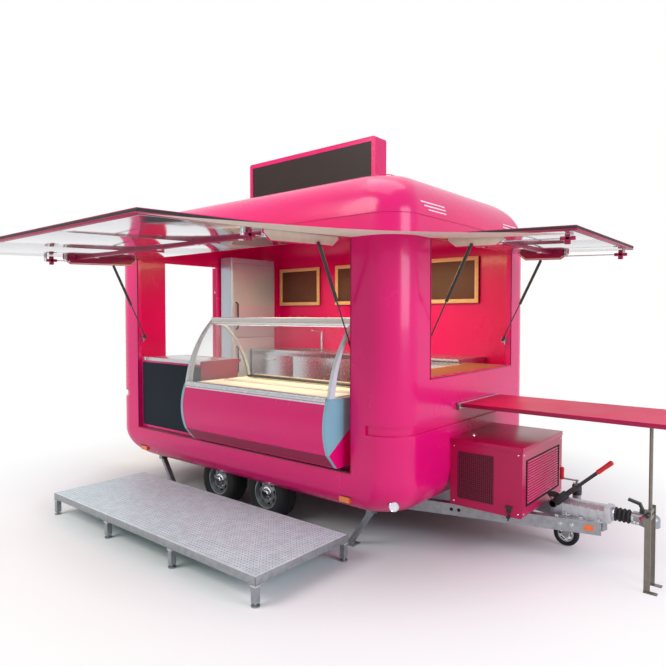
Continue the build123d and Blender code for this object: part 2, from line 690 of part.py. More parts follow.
def coupling_nodes():
    """Overrun housing, its rubber gaiter, the ball coupling and the two hand levers."""
    half = HOUSING_WIDTH / 2
    housing = block(HOUSING_REAR, HOUSING_FRONT, -half, half, RAIL_LOW, COUPLING_Z + 44.0)
    housing = chamfer(housing.edges().filter_by(Axis.X).sort_by(Axis.Z)[-2:], 26.0)
    head_rear = COUPLING_X - 105.0
    shaft = rod((HOUSING_FRONT, 0, COUPLING_Z), (head_rear, 0, COUPLING_Z), SHAFT_R)
    housing = housing + shaft
    folds = 6
    pitch = (head_rear - HOUSING_FRONT - 12.0) / folds
    rim = []
    for fold in range(folds):
        start = fold * pitch
        rim += [(SHAFT_R + 12.0, start), (SHAFT_R + 22.0, start + pitch / 2)]
    rim += [(SHAFT_R + 12.0, folds * pitch)]
    bore = SHAFT_R + SEAT_GAP
    sleeve = Polyline((bore, 0), *rim, (bore, folds * pitch), close=True)
    gaiter = revolve(Plane.XZ * make_face(sleeve), Axis.Z)
    gaiter = Pos(HOUSING_FRONT + 6.0, 0, COUPLING_Z) * Rot(0, 90, 0) * gaiter
    nose = COUPLING_X + 62.0
    head = block(head_rear, COUPLING_X, -38.0, 38.0, COUPLING_Z - 34.0, COUPLING_Z + 40.0)
    head = fillet(head.edges().filter_by(Axis.X).sort_by(Axis.Z)[-2:], 22.0)
    cup = Pos(COUPLING_X, 0, COUPLING_Z - 34.0) * Cylinder(
        nose - COUPLING_X, 74.0, align=(Align.CENTER, Align.CENTER, Align.MIN)
    )
    cup = fillet(cup.edges().group_by(Axis.Z)[-1], 30.0)
    head = head + cup
    socket = Pos(COUPLING_X, 0, COUPLING_Z - 8.0)
    head = head - socket * Sphere(BALL_R + 0.5)
    mouth_align = (Align.CENTER, Align.CENTER, Align.MAX)
    head = head - socket * Cylinder(BALL_R + 0.5, 60.0, align=mouth_align)
    grip_z = COUPLING_Z + 40.0 + SEAT_GAP
    handle = block(COUPLING_X - 60.0, COUPLING_X - 20.0, -16.0, 16.0, grip_z, grip_z + 26.0)
    knee = (COUPLING_X - 62.0, 0, grip_z + 62.0)
    handle = handle + bar((COUPLING_X - 40.0, 0, grip_z + 14.0), knee, 30.0, 16.0)
    grip_tip = (COUPLING_X - 132.0, 0, grip_z + 78.0)
    handle = handle + bar((knee[0] + 8.0, 0, knee[2] - 4.0), grip_tip, 30.0, 16.0)
    pivot = (HOUSING_REAR + 20.0, -half - 12.0 - SEAT_GAP, COUPLING_Z + 6.0)
    tip = (HOUSING_FRONT + 10.0, pivot[1], COUPLING_Z + 366.0)
    lever = bar(pivot, tip, 12.0, 24.0) + rod(
        (pivot[0], pivot[1] - 12.0, pivot[2]), (pivot[0], -half - SEAT_GAP, pivot[2]), 20.0
    )
    along = (Vector(*tip) - Vector(*pivot)).normalized()
    lever = lever + rod(Vector(*tip) - along * 120.0, Vector(*tip), 15.0)
    return {
        "overrun_housing": housing,
        "gaiter": gaiter,
        "coupling_head": head,
        "hand_levers": together([handle, lever]),
    }


def jockey_nodes():
    """Clamped outer tube with crank, telescopic leg, caster fork and wheel."""
    x, y = JOCKEY_X, JOCKEY_Y
    top = COUPLING_Z + 110.0
    low = RAIL_LOW - BEAM_HEIGHT + 12.0
    tube = rod((x, y, low), (x, y, top), JOCKEY_TUBE_R) - rod(
        (x, y, low - 1.0), (x, y, top - 12.0), JOCKEY_LEG_R + SEAT_GAP
    )
    reach = (BEAM_NOSE[0] - x) / (BEAM_NOSE[0] - BEAM_ROOT[0]) * (BEAM_ROOT[1] - BEAM_NOSE[1])
    run = BEAM_NOSE[0] - BEAM_ROOT[0]
    slant = math.hypot(run, BEAM_ROOT[1] - BEAM_NOSE[1]) / run
    beam_side = BEAM_NOSE[1] + reach + BEAM_WIDTH / 2 * slant
    clamp_low, clamp_high = RAIL_LOW - 70.0, RAIL_LOW - 20.0
    clamp = block(x - 35.0, x + 35.0, beam_side + 12.0, y, clamp_low, clamp_high)
    clamp = clamp - rod((x, y, low - 1.0), (x, y, top), JOCKEY_TUBE_R - 1.0)
    seat = block(x - 12.0, x + 12.0, beam_side - 6.0, beam_side + 12.0, clamp_low, clamp_high)
    beam = bar(
        (BEAM_ROOT[0], BEAM_ROOT[1], RAIL_LOW - BEAM_HEIGHT / 2),
        (BEAM_NOSE[0], BEAM_NOSE[1], RAIL_LOW - BEAM_HEIGHT / 2),
        BEAM_WIDTH,
        BEAM_HEIGHT,
    )
    crank = rod((x, y, top - 1.0), (x, y, top + 28.0), 9.0)
    crank = crank + bar((x + 10.0, y, top + 22.0), (x - 120.0, y, top + 22.0), 20.0, 8.0)
    crank = crank + rod((x - 110.0, y, top + 18.0), (x - 110.0, y, top + 100.0), 12.0)
    outer = tube + clamp + (seat - beam) + crank
    fork_top = JOCKEY_FORK_TOP
    leg = rod((x, y, fork_top), (x, y, fork_top + JOCKEY_LEG_LENGTH), JOCKEY_LEG_R)
    pin_low = fork_top - 12.0
    leg = leg + rod((x, y, pin_low), (x, y, fork_top), 9.0)
    wheel_x = x - JOCKEY_TRAIL
    half = JOCKEY_WHEEL_WIDTH / 2 + 4.0
    crown_low = 2 * JOCKEY_WHEEL_R + 4.0
    crown = block(wheel_x - 20.0, x + 24.0, y - half - 6.0, y + half + 6.0, crown_low, fork_top - SEAT_GAP)
    crown = crown - rod((x, y, crown_low - 1.0), (x, y, fork_top), 9.0 + RUN_CLEAR)
    fork = crown
    for side in SIDES.values():
        cheek = bar(
            (x - 30.0, y + side * (half + 3.0), crown_low + 2.0),
            (wheel_x, y + side * (half + 3.0), JOCKEY_WHEEL_R - 14.0),
            6.0,
            40.0,
        )
        fork = fork + cheek
    pin_half = half + 6.0
    fork = fork + rod((wheel_x, y - pin_half, JOCKEY_WHEEL_R), (wheel_x, y + pin_half, JOCKEY_WHEEL_R), 8.0)
    hub = Cylinder(JOCKEY_WHEEL_R, JOCKEY_WHEEL_WIDTH)
    hub = fillet(hub.edges(), 14.0)
    groove = Cylinder(64.0, 14.0) - Cylinder(26.0, 14.0)
    for side in SIDES.values():
        hub = hub - Pos(0, 0, side * JOCKEY_WHEEL_WIDTH / 2) * groove
    hub = hub - Cylinder(8.0 + RUN_CLEAR, 2 * JOCKEY_WHEEL_WIDTH)
    hub = Pos(wheel_x, y, JOCKEY_WHEEL_R) * Rot(90, 0, 0) * hub
    return {"jockey_tube": outer, "jockey_leg": leg, "jockey_fork": fork, "jockey_wheel": hub}


def steady(end, side):
    """Drop leg slanting in towards the middle, with a flat foot on the ground."""
    pivot = (end * STEADY_X, side * STEADY_Y, STEADY_Z)
    foot_x = end * (STEADY_X - STEADY_REACH)
    sole = 8.0
    leg = bar((pivot[0], pivot[1], pivot[2]), (foot_x, pivot[1], sole + 14.0), STEADY_WIDTH, STEADY_THICK)
    half = STEADY_WIDTH / 2
    eye = rod((pivot[0], pivot[1] - half, pivot[2]), (pivot[0], pivot[1] + half, pivot[2]), 20.0)
    foot = block(foot_x - 50.0, foot_x + 50.0, pivot[1] - 45.0, pivot[1] + 45.0, 0, sole)
    neck = block(foot_x - 16.0, foot_x + 16.0, pivot[1] - 20.0, pivot[1] + 20.0, sole, sole + 26.0)
    return leg + eye + foot + neck


def steady_lugs():
    """Pairs of lugs under the outriggers that hold the steadies' pivots."""
    lugs = []
    for end in (1, -1):
        for side in SIDES.values():
            for cheek in (1, -1):
                near = STEADY_WIDTH / 2 + 3.0
                y0 = side * STEADY_Y + cheek * near
                y1 = y0 + cheek * 8.0
                lug = block(end * STEADY_X - 24.0, end * STEADY_X + 24.0, y0, y1, STEADY_Z - 18.0, RAIL_LOW)
                tip = y0 - cheek * 2.6
                stud = rod((end * STEADY_X, y1, STEADY_Z), (end * STEADY_X, tip, STEADY_Z), 9.0)
                lugs.append(lug + stud)
    return lugs


def case_profile(inset):
    """Outline of the display case's front: toe, chin, belly and brow, set in by the panel's thickness."""
    toe = (CASE_TOE_Y + inset, CASE_BOTTOM)
    chin = (CASE_FRONT_Y + CASE_CHIN_IN + inset, CASE_CHIN_Z)
    belly = (CASE_FRONT_Y + inset, (CASE_CHIN_Z + CASE_RAIL_Z) / 2)
    brow = (CASE_FRONT_Y + CASE_BROW_IN + inset, CASE_RAIL_Z)
    return toe, chin, belly, brow


def bowed(start, stop, bulge):
    """Start, middle and end of an arc that bows out to the left of its chord."""
    chord = Vector(stop[0] - start[0], stop[1] - start[1])
    out = Vector(-chord.Y, chord.X).normalized() * bulge
    return start, (start[0] + chord.X / 2 + out.X, start[1] + chord.Y / 2 + out.Y), stop


def glass_arc(foot_in, crown_in):
    """Bowed line of the case's front glass from the rail up to the hood, set in at foot and crown."""
    foot = (CASE_FRONT_Y + CASE_BROW_IN + CASE_PANEL / 4 + foot_in, CASE_RAIL_Z)
    return bowed(foot, (CASE_TOP_Y, CASE_TOP_Z - crown_in), CASE_BULGE)


def back_arc(inset):
    """Line of the end frame's rear limb, from the hood down to the deck."""
    crown = (CASE_TOP_Y + ARCH_CROWN, CASE_TOP_Z - inset)
    return bowed(crown, (CASE_BACK_Y - ARCH_FOOT_IN - inset, CASE_RAIL_Z), ARCH_BULGE)


def band(outer, inner):
    """Face between two arcs that run the same way."""
    return Curve() + [
        ThreePointArc(*outer),
        Line(outer[2], inner[2]),
        ThreePointArc(*reversed(inner)),
        Line(inner[0], outer[0]),
    ]


def extrude_x(profile, x0, x1):
    return Pos(x0, 0, 0) * extrude(Plane.YZ * make_face(profile), x1 - x0)


def case_nodes():
    """Sliding ice-cream display case: pan, bowed front, end frames, curved glass, light hood, tubs."""
    x0, x1 = CASE_X_LOW, CASE_X_HIGH
    in0, in1 = x0 + CASE_CHEEK, x1 - CASE_CHEEK
    toe, chin, belly, brow = case_profile(0)
    toe_in, chin_in, belly_in, brow_in = case_profile(CASE_PANEL)
    front = Curve() + [
        Line(toe, chin),
        ThreePointArc(chin, belly, brow),
        Line(brow, brow_in),
        ThreePointArc(brow_in, belly_in, chin_in),
        Line(chin_in, toe_in),
        Line(toe_in, toe),
    ]
    panel = extrude_x(front, in0, in1)
    cheek_line = Curve() + [
        Line(toe, chin),
        ThreePointArc(chin, belly, brow),
        Line(brow, (CASE_BACK_Y, CASE_RAIL_Z)),
        Line((CASE_BACK_Y, CASE_RAIL_Z), (CASE_BACK_Y, CASE_BOTTOM)),
        Line((CASE_BACK_Y, CASE_BOTTOM), toe),
    ]
    ends = []
    for start, stop in ((x0, in0), (in1, x1)):
        end = extrude_x(cheek_line, start, stop)
        end = end + extrude_x(band(glass_arc(0, 0), glass_arc(ARCH_FOOT, ARCH_WIDTH)), start, stop)
        ends.append(end + extrude_x(band(back_arc(0), back_arc(ARCH_WIDTH)), start, stop))
    carcass = block(in0, in1, toe_in[0], CASE_BACK_Y, CASE_BOTTOM, CASE_PAN_TOP)
    glass = extrude_x(band(glass_arc(0, 0), glass_arc(CASE_GLASS, CASE_GLASS)), in0, in1)
    foot_in, middle_in, crown_in = glass_arc(CASE_GLASS, CASE_GLASS)
    back_crown, back_middle, back_foot = back_arc(CASE_GLASS)
    side_line = Curve() + [
        ThreePointArc(foot_in, middle_in, crown_in),
        Line(crown_in, back_crown),
        ThreePointArc(back_crown, back_middle, back_foot),
        Line(back_foot, foot_in),
    ]
    for x in (in0, in1 - CASE_GLASS):
        glass = glass + extrude_x(side_line, x, x + CASE_GLASS)
    hood_y = CASE_TOP_Y - CASE_HOOD_DEPTH / 4
    hood = block(in0, in1, hood_y, hood_y + CASE_HOOD_DEPTH, CASE_TOP_Z - CASE_HOOD_HEIGHT, CASE_TOP_Z)
    hood = fillet(hood.edges().filter_by(Axis.X).group_by(Axis.Z)[-1], CASE_HOOD_HEIGHT / 4)
    glass = glass - block(in0, in1, hood_y, FAR, CASE_TOP_Z - CASE_HOOD_HEIGHT, FAR)
    glass = glass - hood
    tray_y0 = brow_in[0] + TUB_MARGIN
    tray_y1 = CASE_BACK_Y - TUB_MARGIN
    tray_z1 = CASE_RAIL_Z - TUB_SUNK
    tray = block(in0 + TUB_SIDE, in1 - TUB_SIDE, tray_y0, tray_y1, CASE_PAN_TOP, tray_z1 - TUB_LID)
    pitch_x = (in1 - in0 - 4 * TUB_SIDE) / TUB_COLUMNS
    pitch_y = (tray_y1 - tray_y0 - 2 * TUB_SIDE) / TUB_ROWS
    for column in range(TUB_COLUMNS):
        for row in range(TUB_ROWS):
            left = in0 + 2 * TUB_SIDE + column * pitch_x + TUB_GAP / 2
            near = tray_y0 + TUB_SIDE + row * pitch_y + TUB_GAP / 2
            right, far = left + pitch_x - TUB_GAP, near + pitch_y - TUB_GAP
            tray = tray + block(left, right, near, far, tray_z1 - TUB_LID, tray_z1)
    return {
        "case_carcass": carcass,
        "case_front_panel": panel,
        "case_cheeks": together(ends),
        "case_glass": glass,
        "case_canopy": hood,
        "case_tubs": tray,
    }


def inside_nodes():
    """Counters, chalkboard, fridge, sink worktop and framed boards inside the body."""
    inner_y = HALF_WIDTH - WALL
    inner_x = HALF_LENGTH - WALL
    left_x = -SERVE_HALF + STRUT_INSET + KICK_THICK
    edge_x = -SERVE_HALF + CHALK_EDGE
    board_y = WALL - HALF_WIDTH
    face_y = board_y - CHALK_PROUD
    split_x = CASE_X_LOW - 20.0
    kick_y = WHEEL_Y - TYRE_WIDTH / 2 - WELL_CLEAR - WELL_WALL - 10.0
    ledge_low = COUNTER_TOP - LEDGE_THICK
    cabinet = block(left_x, split_x, face_y + CHALK_THICK, KICK_THICK - kick_y, SKIRT_TOP, ledge_low)
    cabinet = cabinet + block(left_x, split_x, face_y, 2 * KICK_THICK - kick_y, ledge_low, COUNTER_TOP)
    cabinet = cabinet + block(edge_x, left_x, face_y, face_y + CHALK_THICK, ledge_low, COUNTER_TOP)
    cabinet = cabinet + block(left_x, split_x, -kick_y, KICK_THICK - kick_y, FLOOR_TOP, SKIRT_TOP)
    stand_y = CASE_BACK_Y + CASE_RETRACT
    plinth = block(CASE_X_LOW, CASE_X_HIGH, board_y + 30.0, stand_y, SKIRT_TOP, CASE_BOTTOM - SEAT_GAP)
    plinth = plinth + block(CASE_X_LOW, CASE_X_HIGH, -kick_y, stand_y, FLOOR_TOP, SKIRT_TOP)
    chalk_top = ledge_low - LEDGE_THICK / 2
    chalk = block(edge_x, split_x, face_y, face_y + CHALK_THICK, SERVE_LOW + LEDGE_THICK, chalk_top)
    counter = block(inner_x - 340.0, inner_x, -FRONT_HALF, FRONT_HALF, FRONT_LOW - 42.0, FRONT_LOW)
    rail_top = FRONT_LOW - 42.0
    counter = counter + block(inner_x - 60.0, inner_x, -FRONT_HALF, FRONT_HALF, FRONT_LOW - 120.0, rail_top)
    fridge_x = FRIDGE_BACK - inner_x
    fridge_y = WORKTOP_Y - FRIDGE_STEP
    fridge_low = FLOOR_TOP + FRIDGE_FOOT
    fridge_front = fridge_x + FRIDGE_DEPTH
    fridge_side = fridge_y + FRIDGE_WIDTH
    fridge_top = fridge_low + FRIDGE_HEIGHT
    fridge = block(fridge_x, fridge_front, fridge_y, fridge_side, fridge_low, fridge_top)
    fridge = fillet(fridge.edges().filter_by(Axis.Z), 14.0)
    split_z = (fridge_low + fridge_top) / 2
    groove = FRIDGE_SEAM / 2
    seam_low, seam_high = split_z - groove, split_z + groove
    fridge = fridge - block(fridge_front - groove, FAR, fridge_y, fridge_side, seam_low, seam_high)
    foot = FRIDGE_DEPTH / 4
    fridge = fridge + block(
        fridge_x + foot, fridge_front - foot, fridge_y + foot, fridge_side - 3 * foot, FLOOR_TOP, fridge_low
    )
    run0, run1 = WORKTOP_REAR_IN - inner_x, inner_x - WORKTOP_FRONT_IN
    sink = block(run0, run1, WORKTOP_Y, inner_y, SKIRT_TOP, WORKTOP_TOP)
    sink = sink + block(run0, run1, WORKTOP_Y, kick_y, FLOOR_TOP, SKIRT_TOP)
    bowl0, bowl1 = run0 + BOWL_MARGIN, run0 + BOWL_MARGIN + BOWL_LENGTH
    bowl_y1 = inner_y - TAP_ROOM
    sink = sink - block(bowl0, bowl1, bowl_y1 - BOWL_WIDTH, bowl_y1, WORKTOP_TOP - BOWL_DEPTH, FAR)
    tap_x, tap_y, tap_z = (bowl0 + bowl1) / 2, inner_y - TAP_ROOM / 2, WORKTOP_TOP + TAP_HEIGHT
    tap = rod((tap_x, tap_y, WORKTOP_TOP), (tap_x, tap_y, tap_z), TAP_R)
    tap = tap + rod((tap_x, tap_y, tap_z - TAP_R), (tap_x, tap_y - TAP_REACH, tap_z + TAP_R), 0.8 * TAP_R)
    boards = []
    for x in BOARD_CENTRES:
        back, front = inner_y, inner_y - BOARD_THICK
        board0, board1 = x - BOARD_WIDTH / 2, x + BOARD_WIDTH / 2
        high = BOARD_LOW + BOARD_HEIGHT
        rim = BOARD_RIM
        frame = block(board0, board1, front, back, BOARD_LOW, high)
        face = block(board0 + rim, board1 - rim, front, front + rim / 4, BOARD_LOW + rim, high - rim)
        boards.append(frame - face)
    return {
        "counter_cabinet": together([cabinet, plinth]),
        "chalkboard": chalk,
        "front_counter": counter,
        "fridge": fridge,
        "sink_worktop": sink + tap,
        "menu_boards": together(boards),
    }


def cooler_nodes():
    """Cooling unit's cover on the drawbar, with a mesh grille at the side and louvres ahead."""
    x0 = HALF_LENGTH
    x1 = x0 + COOLER_LENGTH
    half = COOLER_WIDTH / 2
    high = COOLER_LOW + COOLER_HEIGHT
    skin = 14.0
    cover = block(x0, x1, -half, half, COOLER_LOW, high)
    cover = fillet(cover.edges().filter_by(Axis.Y).sort_by(Axis.X)[-2:], 18.0)
    mesh_x0, mesh_x1 = x0 + 60.0, x0 + 300.0
    mesh_z0, mesh_z1 = COOLER_LOW + 70.0, high - 110.0
    fan_y0, fan_y1 = 60.0 - half, half - 60.0
    fan_z0, fan_z1 = COOLER_LOW + 70.0, high - 90.0
    cover = cover - block(mesh_x0, mesh_x1, -half, skin - half, mesh_z0, mesh_z1)
    cover = cover - block(x1 - skin, x1, fan_y0, fan_y1, fan_z0, fan_z1)
    bars = 12
    slats = 14
    rim = 9.0
    frame = block(mesh_x0, mesh_x1, -half, 8.0 - half, mesh_z0, mesh_z1)
    mesh = frame - block(mesh_x0 + rim, mesh_x1 - rim, -half, 8.0 - half, mesh_z0 + rim, mesh_z1 - rim)
    for k in range(1, bars):
        x = mesh_x0 + (mesh_x1 - mesh_x0) * k / bars
        z = mesh_z0 + (mesh_z1 - mesh_z0) * k / bars
        mesh = mesh + block(x - 2.0, x + 2.0, -half + 1.0, 5.0 - half, mesh_z0, mesh_z1)
        mesh = mesh + block(mesh_x0, mesh_x1, -half + 1.0, 5.0 - half, z - 2.0, z + 2.0)
    louvre = block(x1 - 10.0, x1, fan_y0, fan_y1, fan_z0, fan_z1)
    louvre = louvre - block(x1 - 10.0, x1, fan_y0 + rim, fan_y1 - rim, fan_z0 + rim, fan_z1 - rim)
    for k in range(1, slats):
        z = fan_z0 + (fan_z1 - fan_z0) * k / slats
        louvre = louvre + block(x1 - 10.0, x1 - 2.0, fan_y0, fan_y1, z - 5.0, z + 5.0)
    return {"cooling_box": cover, "cooling_grilles": together([mesh, louvre])}


def table_nodes():
    """Side table hooked on the front wall, on one telescopic leg between two flat posts."""
    start = HALF_LENGTH + TABLE_RAIL
    low = TABLE_TOP - TABLE_THICK
    top = block(start, TABLE_END, TABLE_Y_LOW, TABLE_Y_HIGH, low, TABLE_TOP)
    top = fillet(top.edges().filter_by(Axis.Z).sort_by(Axis.X)[-2:], 40.0)
    rail = block(HALF_LENGTH, start, TABLE_Y_LOW - 20.0, TABLE_Y_HIGH + 20.0, low - 20.0, low + 20.0)
    x, y = TABLE_LEG_X, TABLE_LEG_Y
    tie_low = TABLE_POST_TOP - 2 * TABLE_POST_WIDTH
    leg = rod((x, y, tie_low), (x, y, low), TABLE_TUBE_R)
    leg = leg + block(x - 40.0, x + 40.0, y - 40.0, y + 40.0, low - 6.0, low)
    for side in SIDES.values():
        post_y = y + side * TABLE_POST_GAP
        leg = leg + block(x - 18.0, x + 18.0, post_y - 4.0, post_y + 4.0, 0, TABLE_POST_TOP)
        leg = leg + block(x - 18.0, x + 60.0, post_y - 18.0, post_y + 18.0, 0, 6.0)
    for z in (tie_low, TABLE_POST_TOP - TABLE_POST_WIDTH):
        leg = leg + block(x - 12.0, x + 12.0, y - TABLE_POST_GAP, y + TABLE_POST_GAP, z, z + 24.0)
    return {"table_top": top, "table_steel": together([rail, leg])}


def platform_nodes():
    """Step platform of chequer plate on a welded frame with levelling feet."""
    x0, x1, y0, y1 = PLATFORM_X_LOW, PLATFORM_X_HIGH, PLATFORM_Y_LOW, PLATFORM_Y_HIGH
    under = PLATFORM_TOP - PLATFORM_PLATE
    deck = block(x0, x1, y0, y1, under, PLATFORM_TOP)
    low = under - PLATFORM_RAIL
    frame = block(x0, x1, y0, y1, low, under)
    frame = frame - block(x0 + 40.0, x1 - 40.0, y0 + 40.0, y1 - 40.0, low, under)
    steps = 3
    for k in range(steps + 1):
        x = x0 + 20.0 + (x1 - x0 - 40.0) * k / steps
        if 0 < k < steps:
            frame = frame + block(x - 20.0, x + 20.0, y0, y1, low, under)
        for y in (y0 + 20.0, y1 - 20.0):
            frame = frame + block(x - 20.0, x + 20.0, y - 20.0, y + 20.0, 22.0, low)
            frame = frame + rod((x, y, 8.0), (x, y, 22.0), 9.0)
            frame = frame + rod((x, y, 0), (x, y, 8.0), 28.0)
    return {"platform_deck": deck, "platform_frame": frame}


def canopy_node():
    """Corner awning stretched between the two open flaps, with a curved free edge."""
    z = FLAP_AXIS_Z - 60.0
    side_x = SERVE_HALF + CANOPY_GAP
    front_y = -FRONT_HALF - CANOPY_GAP
    side_tip = SIDE_AXIS_Y - (FLAP_AXIS_Z - SERVE_LOW) + 20.0
    front_tip = FRONT_AXIS_X + (FLAP_AXIS_Z - FRONT_LOW) - 20.0
    middle = ((side_x + front_tip) / 2 - 120.0, (side_tip + front_y) / 2 + 160.0)
    outline = Curve() + [
        Line((side_x, front_y), (side_x, side_tip)),
        ThreePointArc((side_x, side_tip), middle, (front_tip, front_y)),
        Line((front_tip, front_y), (side_x, front_y)),
    ]
    sheet = Pos(0, 0, z) * extrude(make_face(outline), CANOPY_THICK)
    return sheet - upright(-SEAT_GAP, z - 1.0, z + CANOPY_THICK + 1.0)


def skirt_inset(z):
    """How far the skirt's round has drawn in at one height."""
    drop = (SKIRT_TOP - z) / SKIRT_R
    return SKIRT_R * (1 - math.sqrt(1 - drop * drop))


def lamp_node():
    """Side markers along the skirt, position lamps on the front corners and tail lamps."""
    lamps = []
    marker_y = HALF_WIDTH - skirt_inset(MARKER_Z + MARKER_HEIGHT / 2) + LAMP_PROUD
    for x in MARKER_XS:
        for side in SIDES.values():
            lamps.append(
                block(
                    x - MARKER_LENGTH / 2,
                    x + MARKER_LENGTH / 2,
                    side * (marker_y - 2 * MARKER_HEIGHT),
                    side * marker_y,
                    MARKER_Z - MARKER_HEIGHT / 2,
                    MARKER_Z + MARKER_HEIGHT / 2,
                )
            )
    inset = skirt_inset(CORNER_LAMP_Z + CORNER_LAMP_R) + CORNER_R
    reach = CORNER_R + LAMP_PROUD
    for side in SIDES.values():
        out = Vector(1, side, 0).normalized()
        start = Vector(HALF_LENGTH - inset, side * (HALF_WIDTH - inset), CORNER_LAMP_Z)
        lamps.append(rod(start + out * (reach - 4 * CORNER_LAMP_R), start + out * reach, CORNER_LAMP_R))
        y = side * TAIL_LAMP_Y
        lamps.append(
            block(
                -HALF_LENGTH - TAIL_LAMP_PROUD,
                WALL / 2 - HALF_LENGTH,
                y - TAIL_LAMP_WIDTH / 2,
                y + TAIL_LAMP_WIDTH / 2,
                TAIL_LAMP_LOW,
                TAIL_LAMP_LOW + TAIL_LAMP_HEIGHT,
            )
        )
    outside = body_outer()
    return together([lamp - outside for lamp in lamps])


def build_nodes():
    """All pieces in body coordinates, before the origin is moved below the middle of the box."""
    nodes = {}
    nodes.update(shell_nodes())
    nodes.update(sign_nodes())
    nodes.update(flap_nodes())
    nodes["door_leaf"] = door_node()
    nodes.update(chassis_nodes())
    frame = nodes["chassis_frame"]
    for lug in steady_lugs():
        frame = frame + lug
    nodes["chassis_frame"] = frame
    nodes.update(coupling_nodes())
    nodes.update(jockey_nodes())
    for end_name, end in (("front", 1), ("rear", -1)):
        for side_name, side in SIDES.items():
            nodes[f"steady_{end_name}_{side_name}"] = steady(end, side)
            nodes[f"wheel_{end_name}_{side_name}"] = wheel(HUB_XS[end_name], side)
    nodes.update(case_nodes())
    nodes.update(inside_nodes())
    nodes.update(cooler_nodes())
    nodes.update(table_nodes())
    nodes.update(platform_nodes())
    nodes["corner_canopy"] = canopy_node()
    nodes["lamps"] = lamp_node()
    return nodes


def frame_shift(nodes):
    """Move that puts the origin on the ground below the middle of the whole box."""
    boxes = [shape.bounding_box() for shape in nodes.values()]
    x = (min(box.min.X for box in boxes) + max(box.max.X for box in boxes)) / 2
    y = (min(box.min.Y for box in boxes) + max(box.max.Y for box in boxes)) / 2
    return Vector(-x, -y, 0)


def main():
    os.makedirs("parts", exist_ok=True)
    nodes = build_nodes()
    shift = frame_shift(nodes)
    for name, shape in nodes.items():
        export_step(Pos(shift.X, shift.Y, 0) * shape, f"parts/{name}.step")
    print(len(nodes), "nodes, shift", round(shift.X, 3), round(shift.Y, 3))


if __name__ == "__main__":
    main()
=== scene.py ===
import math

import bmesh
import bpy
from mathutils import Matrix, Vector


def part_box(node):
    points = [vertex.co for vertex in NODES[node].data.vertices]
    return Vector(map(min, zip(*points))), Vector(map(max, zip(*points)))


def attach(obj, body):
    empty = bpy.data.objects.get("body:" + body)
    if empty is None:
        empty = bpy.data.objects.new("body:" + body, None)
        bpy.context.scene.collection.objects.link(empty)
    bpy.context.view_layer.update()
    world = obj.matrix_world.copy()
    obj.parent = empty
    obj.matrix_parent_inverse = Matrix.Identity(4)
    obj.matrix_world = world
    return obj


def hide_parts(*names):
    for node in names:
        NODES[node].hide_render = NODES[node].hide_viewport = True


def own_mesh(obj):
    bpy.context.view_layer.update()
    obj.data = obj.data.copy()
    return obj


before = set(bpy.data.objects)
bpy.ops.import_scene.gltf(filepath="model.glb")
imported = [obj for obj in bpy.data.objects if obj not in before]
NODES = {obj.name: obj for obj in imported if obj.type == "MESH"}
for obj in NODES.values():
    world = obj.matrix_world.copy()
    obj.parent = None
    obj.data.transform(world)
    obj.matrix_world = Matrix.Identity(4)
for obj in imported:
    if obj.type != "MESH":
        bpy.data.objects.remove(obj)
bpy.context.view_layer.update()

# Body frame in metres: X forward to the coupling, Y left, Z up, origin on the ground below the body's middle
TUB_LOW, TUB_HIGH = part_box("lower_tub")
ORIGIN = Vector(((TUB_LOW[0] + TUB_HIGH[0]) / 2, (TUB_LOW[1] + TUB_HIGH[1]) / 2, 0.0))
HALF_LENGTH = (TUB_HIGH[0] - TUB_LOW[0]) / 2
HALF_WIDTH = (TUB_HIGH[1] - TUB_LOW[1]) / 2
SHELL = 0.040
CORNER_R = 0.24
ROOF_R = 0.33
ROOF_SEAM_Z = 2.42
CEILING = 2.708
HINGE_OUT, HINGE_SIDE, DOOR_EDGE = 0.016, 0.008, 0.185

# Openings, their flaps and the gas struts
SERVE_HALF, SERVE_SILL = 1.328, 0.630
WINDOW_HALF, WINDOW_SILL = 0.693, 1.28
OPENING_TOP = 2.30
EDGE_WIDE = 0.008
FLAP_GAP = 0.006
FLAP_HALF_THICK = 0.015
SIDE_AXIS_Y = FLAP_HALF_THICK - HALF_WIDTH
FRONT_AXIS_X = HALF_LENGTH - FLAP_HALF_THICK
ARM_INSET = 0.073
ARM_THICK = 0.012
STRUT_INSET = 0.042
STRUT_ANCHOR, STRUT_DROP = 0.30, 0.07
STRUT_TUBE = 0.42
STRUT_FOOT_IN, STRUT_FOOT_Z = 0.060, 1.51
AWNING_GAP = 0.010
AWNING_X, AWNING_Y = SERVE_HALF + AWNING_GAP, -WINDOW_HALF - AWNING_GAP

# Drawbar
JOCKEY_X, JOCKEY_Y = 2.466, 0.184
COUPLING_Z = 0.372
LEVER_PIVOT, LEVER_TIP = (2.38, -0.0703, 0.378), (2.77, -0.0703, 0.738)


def place(x, y, z):
    """Body metres to the row frame."""
    return ORIGIN + Vector((x, y, z))


def node_box(name):
    """Lowest and highest corner of a CAD node, in body metres."""
    low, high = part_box(name)
    return Vector(low) - ORIGIN, Vector(high) - ORIGIN


# Materials


def linear(channel):
    share = channel / 255.0
    return share / 12.92 if share <= 0.04045 else ((share + 0.055) / 1.055) ** 2.4


def colour(rgb, gain=1.0):
    return tuple(min(1.0, linear(c) * gain) for c in rgb) + (1.0,)


def add(tree, kind, sockets=None, **settings):
    """New shader node with its settings, and each socket set to a value or linked to another node."""
    node = tree.nodes.new(kind)
    for name, value in settings.items():
        setattr(node, name, value)
    for name, value in (sockets or {}).items():
        if isinstance(value, bpy.types.NodeSocket):
            tree.links.new(value, node.inputs[name])
        else:
            node.inputs[name].default_value = value
    return node


